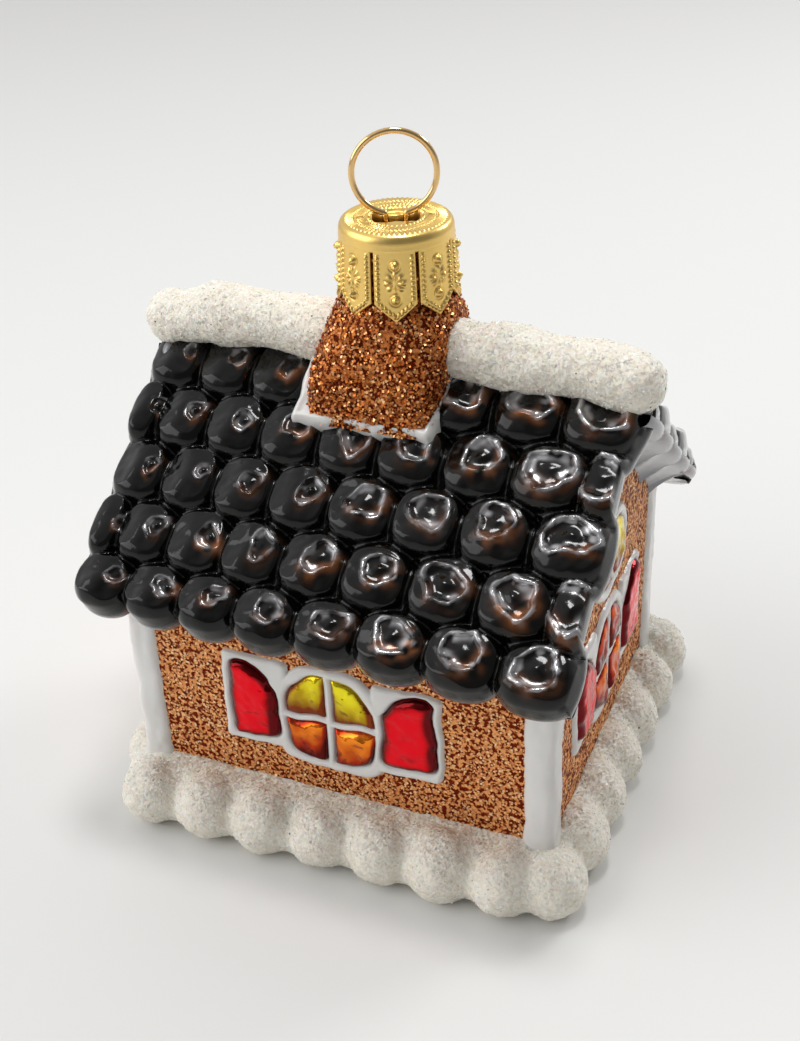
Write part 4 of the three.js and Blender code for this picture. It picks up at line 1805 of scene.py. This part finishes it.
@dataclass
class Cap:
    """The stamped metal cap: a knurled crown over eight pointed, embossed tabs."""

    house: House
    tabs: int = 8
    turn: float = math.radians(19.5 - 90.0)
    shoulder: float = 1.05
    upper: float = 6.12
    lower: float = 6.48
    slot_top: float = 67.5
    tip: float = 60.05
    point: float = 1.9
    gap: float = 0.34
    thickness: float = 0.35
    ribs: int = 62
    pearls: int = 38
    pearl_pitch: float = 0.55
    studs: tuple[float, float] = (66.25, 62.55)
    rosette: float = 64.4
    lip: tuple = (
        (6.13, 67.95), (6.15, 67.8), (6.15, 67.65), (6.1, 67.5), (5.9, 67.4), (5.5, 67.4)
    )

    def radius(self, z: Array) -> Array:
        """Outer radius of the plain skirt.

        Args:
            z: Heights.

        Returns:
            The radii.
        """
        top = self.house.cap_top - self.shoulder
        return mix(self.upper, self.lower, (top - z) / (top - self.tip))

    def emboss(self, a: Array, z: Array, half: float) -> Array:
        """The stamped pattern of one tab: pearls round its edge, and a rosette between two studs.

        Args:
            a: Places across the tab, in millimetres from its middle.
            z: Heights.
            half: Half the tab's width.

        Returns:
            How far the metal stands out.
        """
        pitch = self.pearl_pitch
        border = half - 0.47
        row = np.mod(z - self.tip, pitch) - pitch / 2
        side = np.hypot(np.abs(a) - border, row * 0.95)
        run_in = (z > self.tip + self.point + 0.45) & (z < self.slot_top - 0.15)
        out = 0.26 * ball_top(side / 0.25) * run_in
        slope = self.point / half
        low_edge = self.tip + slope * np.abs(a)
        away = (z - low_edge) / math.hypot(1, slope) - 0.5
        along = np.abs(a) * math.hypot(1, slope)
        bead = np.hypot(away, np.mod(along, pitch) - pitch / 2)
        out += 0.26 * ball_top(bead / 0.25) * (np.abs(a) < border)
        for stud in self.studs:
            near = np.hypot(a, z - stud)
            out += 0.42 * ball_top(near / 0.46)
            out -= 0.07 * bell(near, 0.62, 0.12)
        up = z - self.rosette
        angle = np.arctan2(up, a)
        petals = np.abs(np.cos(4 * angle)) ** 1.5 * (0.7 + 0.3 * np.cos(2 * angle))
        out += 0.3 * petals * bell(np.hypot(a, up), 0.75, 0.36)
        out += 0.12 * bell(a, 0.0, 0.12) * (np.abs(up) < 1.9)
        return out

    def tab(self, number: int) -> bpy.types.Object:
        """One tab as a closed strip of sheet metal.

        Args:
            number: Its place round the cap.

        Returns:
            The piece.
        """
        centre = self.turn + number * 2 * math.pi / self.tabs
        half = self.lower * math.pi / self.tabs - self.gap / 2
        across = np.linspace(-1, 1, 76)[:, None]
        down = np.linspace(0, 1, 112)[None, :]
        a = across * half
        end = self.tip + self.point * np.abs(across)
        z = mix(self.slot_top + 0.25, end, down)
        out = self.emboss(a, z, half)
        bevel = np.minimum((half - np.abs(a)) / 0.16, (z - end) / 0.16)
        out = out - 0.1 * (1 - np.clip(bevel, 0, 1)) ** 2
        angle = centre + a / self.lower
        skin, back = (
            stack(radius * np.cos(angle), radius * np.sin(angle), z)
            for radius in (self.radius(z) + out, self.radius(z) - self.thickness)
        )
        strip = np.concatenate([skin, back[::-5]])
        point = strip[:, -1:] * 0.5 + strip[::-1, -1:] * 0.5
        points = np.hstack([strip, point])[:, ::-1] + np.array([self.house.neck_x, 0, 0])
        return make_piece(f"cap_tab_{number + 1}", [Sheet(points, closed_first=True)])

    def crown(self, loop_turn: float) -> bpy.types.Object:
        """The top with its knurled ring, its pearled dish and its slot, down to the tabs.

        Args:
            loop_turn: The direction of the slot.

        Returns:
            The piece.
        """
        top = self.house.cap_top
        turn = round_turn(496)[:, None]
        bend = np.linspace(0, np.pi / 2, 14)[1:]
        plate = np.linspace(0.02, 5.45, 98)
        lip_flat, lip_level = np.array(self.lip).T
        flat = np.concatenate([plate, mix(plate[-1], self.upper, np.sin(bend)), lip_flat])[None, :]
        fall = top - self.shoulder * (1 - np.cos(bend))
        level = np.concatenate([np.full(plate.shape, top), fall, lip_level])[None, :]
        ring = smoothstep(3.25, 3.45, flat) * smoothstep(5.6, 5.3, flat)
        ribs = 0.15 * ring * (0.5 + 0.5 * np.cos(self.ribs * turn))
        notch = -0.10 * bell(flat, 4.35, 0.1)
        pearls = 0.15 * bell(flat, 2.95, 0.2) * (0.5 + 0.5 * np.cos(self.pearls * turn))
        dish = -0.4 * smoothstep(2.75, 2.2, flat)
        x, y = flat * np.cos(turn), flat * np.sin(turn)
        crumple = 0.07 * noise(stack(x, y, 0.0), 0.5, 101) * smoothstep(2.6, 2.0, flat)
        along = x * math.cos(loop_turn) + y * math.sin(loop_turn)
        beside = -x * math.sin(loop_turn) + y * math.cos(loop_turn)
        slot = round_box(along, beside - 0.45, (-2.5, 2.5, -0.95, 0.95), 0.3)
        hole = smoothstep(-0.05, 0.12, slot)
        z = level + ribs + notch + pearls + dish + crumple - 1.6 * hole
        points = stack(self.house.neck_x + x, y, z)
        # Marks the slot for the painted shade inside it.
        layers = {"deep": hole[:, ::-1]}
        return make_piece("cap_crown", [Sheet(points[:, ::-1], closed_first=True, layers=layers)])


@dataclass
class WireLoop:
    """The loop of drawn wire that is held in the cap's slot."""

    house: House
    turn: float = math.radians(23.0)
    wire: float = 0.66
    opening: float = math.radians(15.0)
    leg_end: float = 68.3

    def build(self) -> bpy.types.Object:
        """Makes the wire as one tube along a smooth path.

        Returns:
            The piece.
        """
        low, high = box_mm("wire_loop")
        radius = float(high[0] - low[0] - 0.7) / 2 / math.cos(self.turn) * 0.985
        middle = float(high[2]) - 0.4 - radius
        angle = np.linspace(-np.pi / 2 + self.opening, 1.5 * np.pi - self.opening, 150)
        x, z = radius * np.cos(angle), middle + radius * np.sin(angle)
        leg = np.linspace(1, 0, 12)[:-1]
        leg_x = x[0] * (1 - 0.12 * leg)
        leg_z = mix(z[0], self.leg_end, leg)
        path_x = np.concatenate([leg_x, x, -leg_x[::-1]])
        path_z = np.concatenate([leg_z, z, leg_z[::-1]])
        path = stack(path_x, 0.0, path_z)
        along = np.gradient(path, axis=0)
        along /= np.linalg.norm(along, axis=1, keepdims=True)
        flat = np.array([0.0, 1.0, 0.0])
        upright = np.cross(along, flat)
        turn = round_turn(24)
        size = np.full(len(path), self.wire / 2)
        size[[0, -1]] = 0.02
        rings = (
            path[:, None, :]
            + (size[:, None] * np.cos(turn))[..., None] * upright[:, None, :]
            + (size[:, None] * np.sin(turn))[..., None] * flat
        )
        cos, sin = math.cos(self.turn), math.sin(self.turn)
        turned = stack(
            self.house.neck_x + rings[..., 0] * cos - rings[..., 1] * sin,
            rings[..., 0] * sin + rings[..., 1] * cos,
            rings[..., 2],
        )
        return make_piece("wire_ring", [Sheet(turned, closed_second=True)])


# ---- Studio ---------------------------------------------------------------------------------


@dataclass(frozen=True)
class Softbox:
    """One soft light: where it is and how strong."""

    name: str
    place: tuple[float, float, float]
    size: tuple[float, float]
    watts: float
    color: Color = (1.0, 1.0, 1.0)

    def build(self, target: Vector) -> None:
        """Hangs the light and turns it to the ornament.

        Args:
            target: What it points at, in metres.
        """
        data = bpy.data.lights.new(self.name, "AREA")
        data.shape = "RECTANGLE"
        data.size, data.size_y = self.size[0] * MM, self.size[1] * MM
        data.energy = self.watts
        data.color = self.color
        lamp = bpy.data.objects.new(self.name, data)
        lamp.location = Vector(self.place) * MM
        lamp.rotation_euler = (target - lamp.location).to_track_quat("-Z", "Y").to_euler()
        link(lamp)


@dataclass(frozen=True)
class RoomSide:
    """A side of the room that is brighter or darker than the rest."""

    toward: tuple[float, float, float]
    fade: tuple[float, float]
    color: Color


@dataclass
class Studio:
    """Pale floor, soft lights and the camera."""

    azimuth: float = math.radians(23.37)
    elevation: float = math.radians(31.90)
    roll: float = -0.044
    away: float = 174.8
    aim: tuple[float, float, float] = (-0.155, 0.0, 31.7)
    lens: float = 51.32
    floor_size: float = 8000.0
    boxes: tuple[Softbox, ...] = (
        Softbox("top_light", (20.0, 40.0, 520.0), (130.0, 90.0), 0.95),
        Softbox("left_window", (-480.0, -300.0, 330.0), (600.0, 450.0), 1.7),
        Softbox("back_light", (260.0, 420.0, 330.0), (170.0, 120.0), 0.8),
    )
    floor_near: Color = (0.772, 0.772, 0.757)
    floor_far: Color = (0.81, 0.80, 0.79)
    floor_fade: tuple[float, float] = (0.12, 0.75)
    room: Color = (0.62, 0.62, 0.62)
    room_sides: tuple[RoomSide, ...] = (
        RoomSide((0.5, -0.85, 0.1), (-0.2, 0.5), (0.20, 0.20, 0.20)),
        RoomSide((-0.85, -0.05, 0.5), (0.2, 0.95), (0.8, 0.8, 0.81)),
    )
    backdrop: Color = (0.80, 0.80, 0.795)

    def camera(self) -> None:
        """Places the camera."""
        cos, sin = math.cos(self.elevation), math.sin(self.elevation)
        ahead = Vector((-math.sin(self.azimuth) * cos, math.cos(self.azimuth) * cos, -sin))
        right = ahead.cross(Vector((0, 0, 1))).normalized()
        up = right.cross(ahead)
        turned_right = right * math.cos(self.roll) + up * math.sin(self.roll)
        turned_up = up * math.cos(self.roll) - right * math.sin(self.roll)
        data = bpy.data.cameras.new("camera")
        data.lens = self.lens
        data.clip_start, data.clip_end = 0.005, 30.0
        camera = bpy.data.objects.new("camera", data)
        place = (Vector(self.aim) - ahead * self.away) * MM
        turn = Matrix((turned_right, turned_up, -ahead)).transposed().to_4x4()
        camera.matrix_world = Matrix.Translation(place) @ turn
        bpy.context.scene.camera = link(camera)

    def floor(self) -> None:
        """Lays the pale floor, with a painted brightness change: a little darker near the ornament
        and lighter far away.
        """
        half = self.floor_size / 2
        line = np.array([-half, -400.0, 0.0, 400.0, half])
        x, y = np.meshgrid(line, line, indexing="ij")
        floor = make_piece("floor", [Sheet(stack(x, y, 0.0))])
        material, bench, shader = new_material("floor_paper")
        place = bench.add("TexCoord").outputs["Object"]
        away = bench.add("VectorMath", {0: place}, operation="LENGTH").outputs["Value"]
        # Painted light: the floor's colour brightens with distance from the ornament.
        share = bench.rise(away, self.floor_fade)
        color = bench.blend(share, self.floor_near, self.floor_far)
        bench.feed(shader, {"Base Color": color, "Roughness": 0.55, "Specular IOR Level": 0.3})
        floor.data.materials.append(material)

    def world(self) -> None:
        """Fills the room with soft light, darker where the room lies in front."""
        world = bpy.data.worlds.new("room")
        bpy.context.scene.world = world
        world.use_nodes = True
        bench = Bench(world.node_tree)
        background = next(n for n in world.node_tree.nodes if n.type == "BACKGROUND")
        direction = bench.add("TexCoord").outputs["Generated"]
        color = self.room
        for side in self.room_sides:
            links = {0: direction, 1: side.toward}
            facing = bench.add("VectorMath", links, operation="DOT_PRODUCT").outputs["Value"]
            color = bench.blend(bench.rise(facing, side.fade), color, side.color)
        seen = bench.add("LightPath").outputs["Is Camera Ray"]
        bench.feed(background, {"Color": bench.blend(seen, color, self.backdrop)})

    def build(self) -> None:
        """Sets up everything that isn't the ornament."""
        self.camera()
        self.floor()
        self.world()
        low, high = CAD_BOX
        for box in self.boxes:
            box.build((low + high) / 2)
        bpy.context.scene.view_settings.view_transform = "Standard"


# ---- Ornament -------------------------------------------------------------------------------


def glass_pieces(house: House, effects: Effects) -> None:
    """Builds the moulded glass: foot, walls, posts, windows, roof, ridge and chimney.

    Args:
        house: The shared sizes.
        effects: The shared shader groups.
    """
    frost = Frost().make(effects)
    paint = Paint().make(effects)
    ground = GlitterGround().make(effects)
    chimney_ground = GlitterGround(
        "chimney_ground", dark=(0.11, 0.012, 0.002), light=(0.76, 0.26, 0.07), cover=0.5
    ).make(effects)
    lacquer = RoofLacquer().make(effects)
    glasses = {
        Slot.RED: TintedGlass(
            "window_red", (0.13, 0.0, 0.002), (0.60, 0.001, 0.006), (0.86, 0.002, 0.012)
        ).make(effects),
        Slot.YELLOW: TintedGlass(
            "window_yellow", (0.22, 0.035, 0.004), (0.52, 0.34, 0.008), (0.92, 0.8, 0.02), stir=1.7
        ).make(effects),
        Slot.ORANGE: TintedGlass(
            "window_orange", (0.1, 0.003, 0.001), (0.45, 0.03, 0.003), (0.98, 0.26, 0.015), stir=1.9
        ).make(effects),
    }

    foot = finish_piece(SnowFoot().build(house), frost)
    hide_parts("glass_body")
    walls = [finish_piece(Wall(house, side).build(), ground) for side in Side]
    for sign_x, sign_y in itertools.product((-1, 1), repeat=2):
        finish_piece(CornerPost(house, sign_x, sign_y).build(), paint)
    groups = [WindowGroup(house, side) for side in Side]
    groups += [AtticWindow(house, side) for side in (Side.RIGHT, Side.LEFT)]
    for group in groups:
        for piece, slot in group.build():
            finish_piece(piece, glasses.get(slot, paint))
    for is_back in (False, True):
        finish_piece(RoofSlope(house, is_back).build(), lacquer)
        finish_piece(Flashing(house, is_back).build(), paint)
    ridge = finish_piece(RidgeSnow(house).build(), frost)
    chimney = finish_piece(Chimney(house).build(), chimney_ground)

    wall_flakes = FlakeFinish(
        "wall_flakes",
        ((0.0, (0.62, 0.17, 0.03)), (0.25, (1.0, 0.49, 0.18)), (1.0, (1.0, 0.72, 0.40))),
        roughness=0.5,
        metallic=0.45,
    ).make()
    chimney_flakes = FlakeFinish(
        "chimney_flakes",
        ((0.0, (0.40, 0.08, 0.012)), (0.5, (0.78, 0.28, 0.07)), (1.0, (1.0, 0.60, 0.30))),
        roughness=0.33,
    ).make()
    snow_flakes = FlakeFinish(
        "snow_flakes", ((0.0, (0.86, 0.85, 0.82)), (1.0, (1.0, 1.0, 0.98))), 0.1, metallic=0.0
    ).make()
    dark_specks = FlakeFinish(
        "dark_specks", ((0.0, (0.05, 0.02, 0.01)), (1.0, (0.35, 0.14, 0.06))), metallic=0.4
    ).make()
    on_walls = FlakeShower("wall_glitter", 4.6, 0.34, 0.16, (0.02, 0.12), 201)
    on_chimney = FlakeShower("chimney_glitter", 11.0, 0.36, 0.42, (0.0, 0.2), 202)
    on_snow = FlakeShower("snow_glitter", 2.6, 0.22, 0.8, (0.0, 0.06), 203)
    stray = FlakeShower("dark_specks", 0.03, 0.22, 0.3, (0.0, 0.08), 204)
    finish_piece(on_walls.build(walls), wall_flakes)
    finish_piece(on_chimney.build([chimney]), chimney_flakes)
    finish_piece(on_snow.build([foot, ridge]), snow_flakes)
    finish_piece(stray.build([foot, ridge]), dark_specks)


def metal_pieces(house: House, effects: Effects) -> None:
    """Builds the cap and the loop.

    Args:
        house: The shared sizes.
        effects: The shared shader groups.
    """
    gold = Metal("gold_cap", (0.92, 0.66, 0.23), (0.80, 0.53, 0.15), 0.27).make(effects)
    brass = Metal("brass_wire", (0.86, 0.60, 0.29), (0.74, 0.48, 0.20), 0.07).make(effects)
    cap, loop = Cap(house), WireLoop(house)
    crown = finish_piece(cap.crown(loop.turn), gold)
    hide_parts("metal_cap")
    for number in range(cap.tabs):
        finish_piece(cap.tab(number), gold)
    ring = finish_piece(loop.build(), brass)
    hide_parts("wire_loop")


def main() -> None:
    """Builds the studio and the ornament."""
    logging.basicConfig(level=logging.INFO, format="%(name)s: %(message)s")
    Studio().build()
    house, effects = House(), Effects()
    glass_pieces(house, effects)
    metal_pieces(house, effects)


if __name__ == "__main__":
    main()
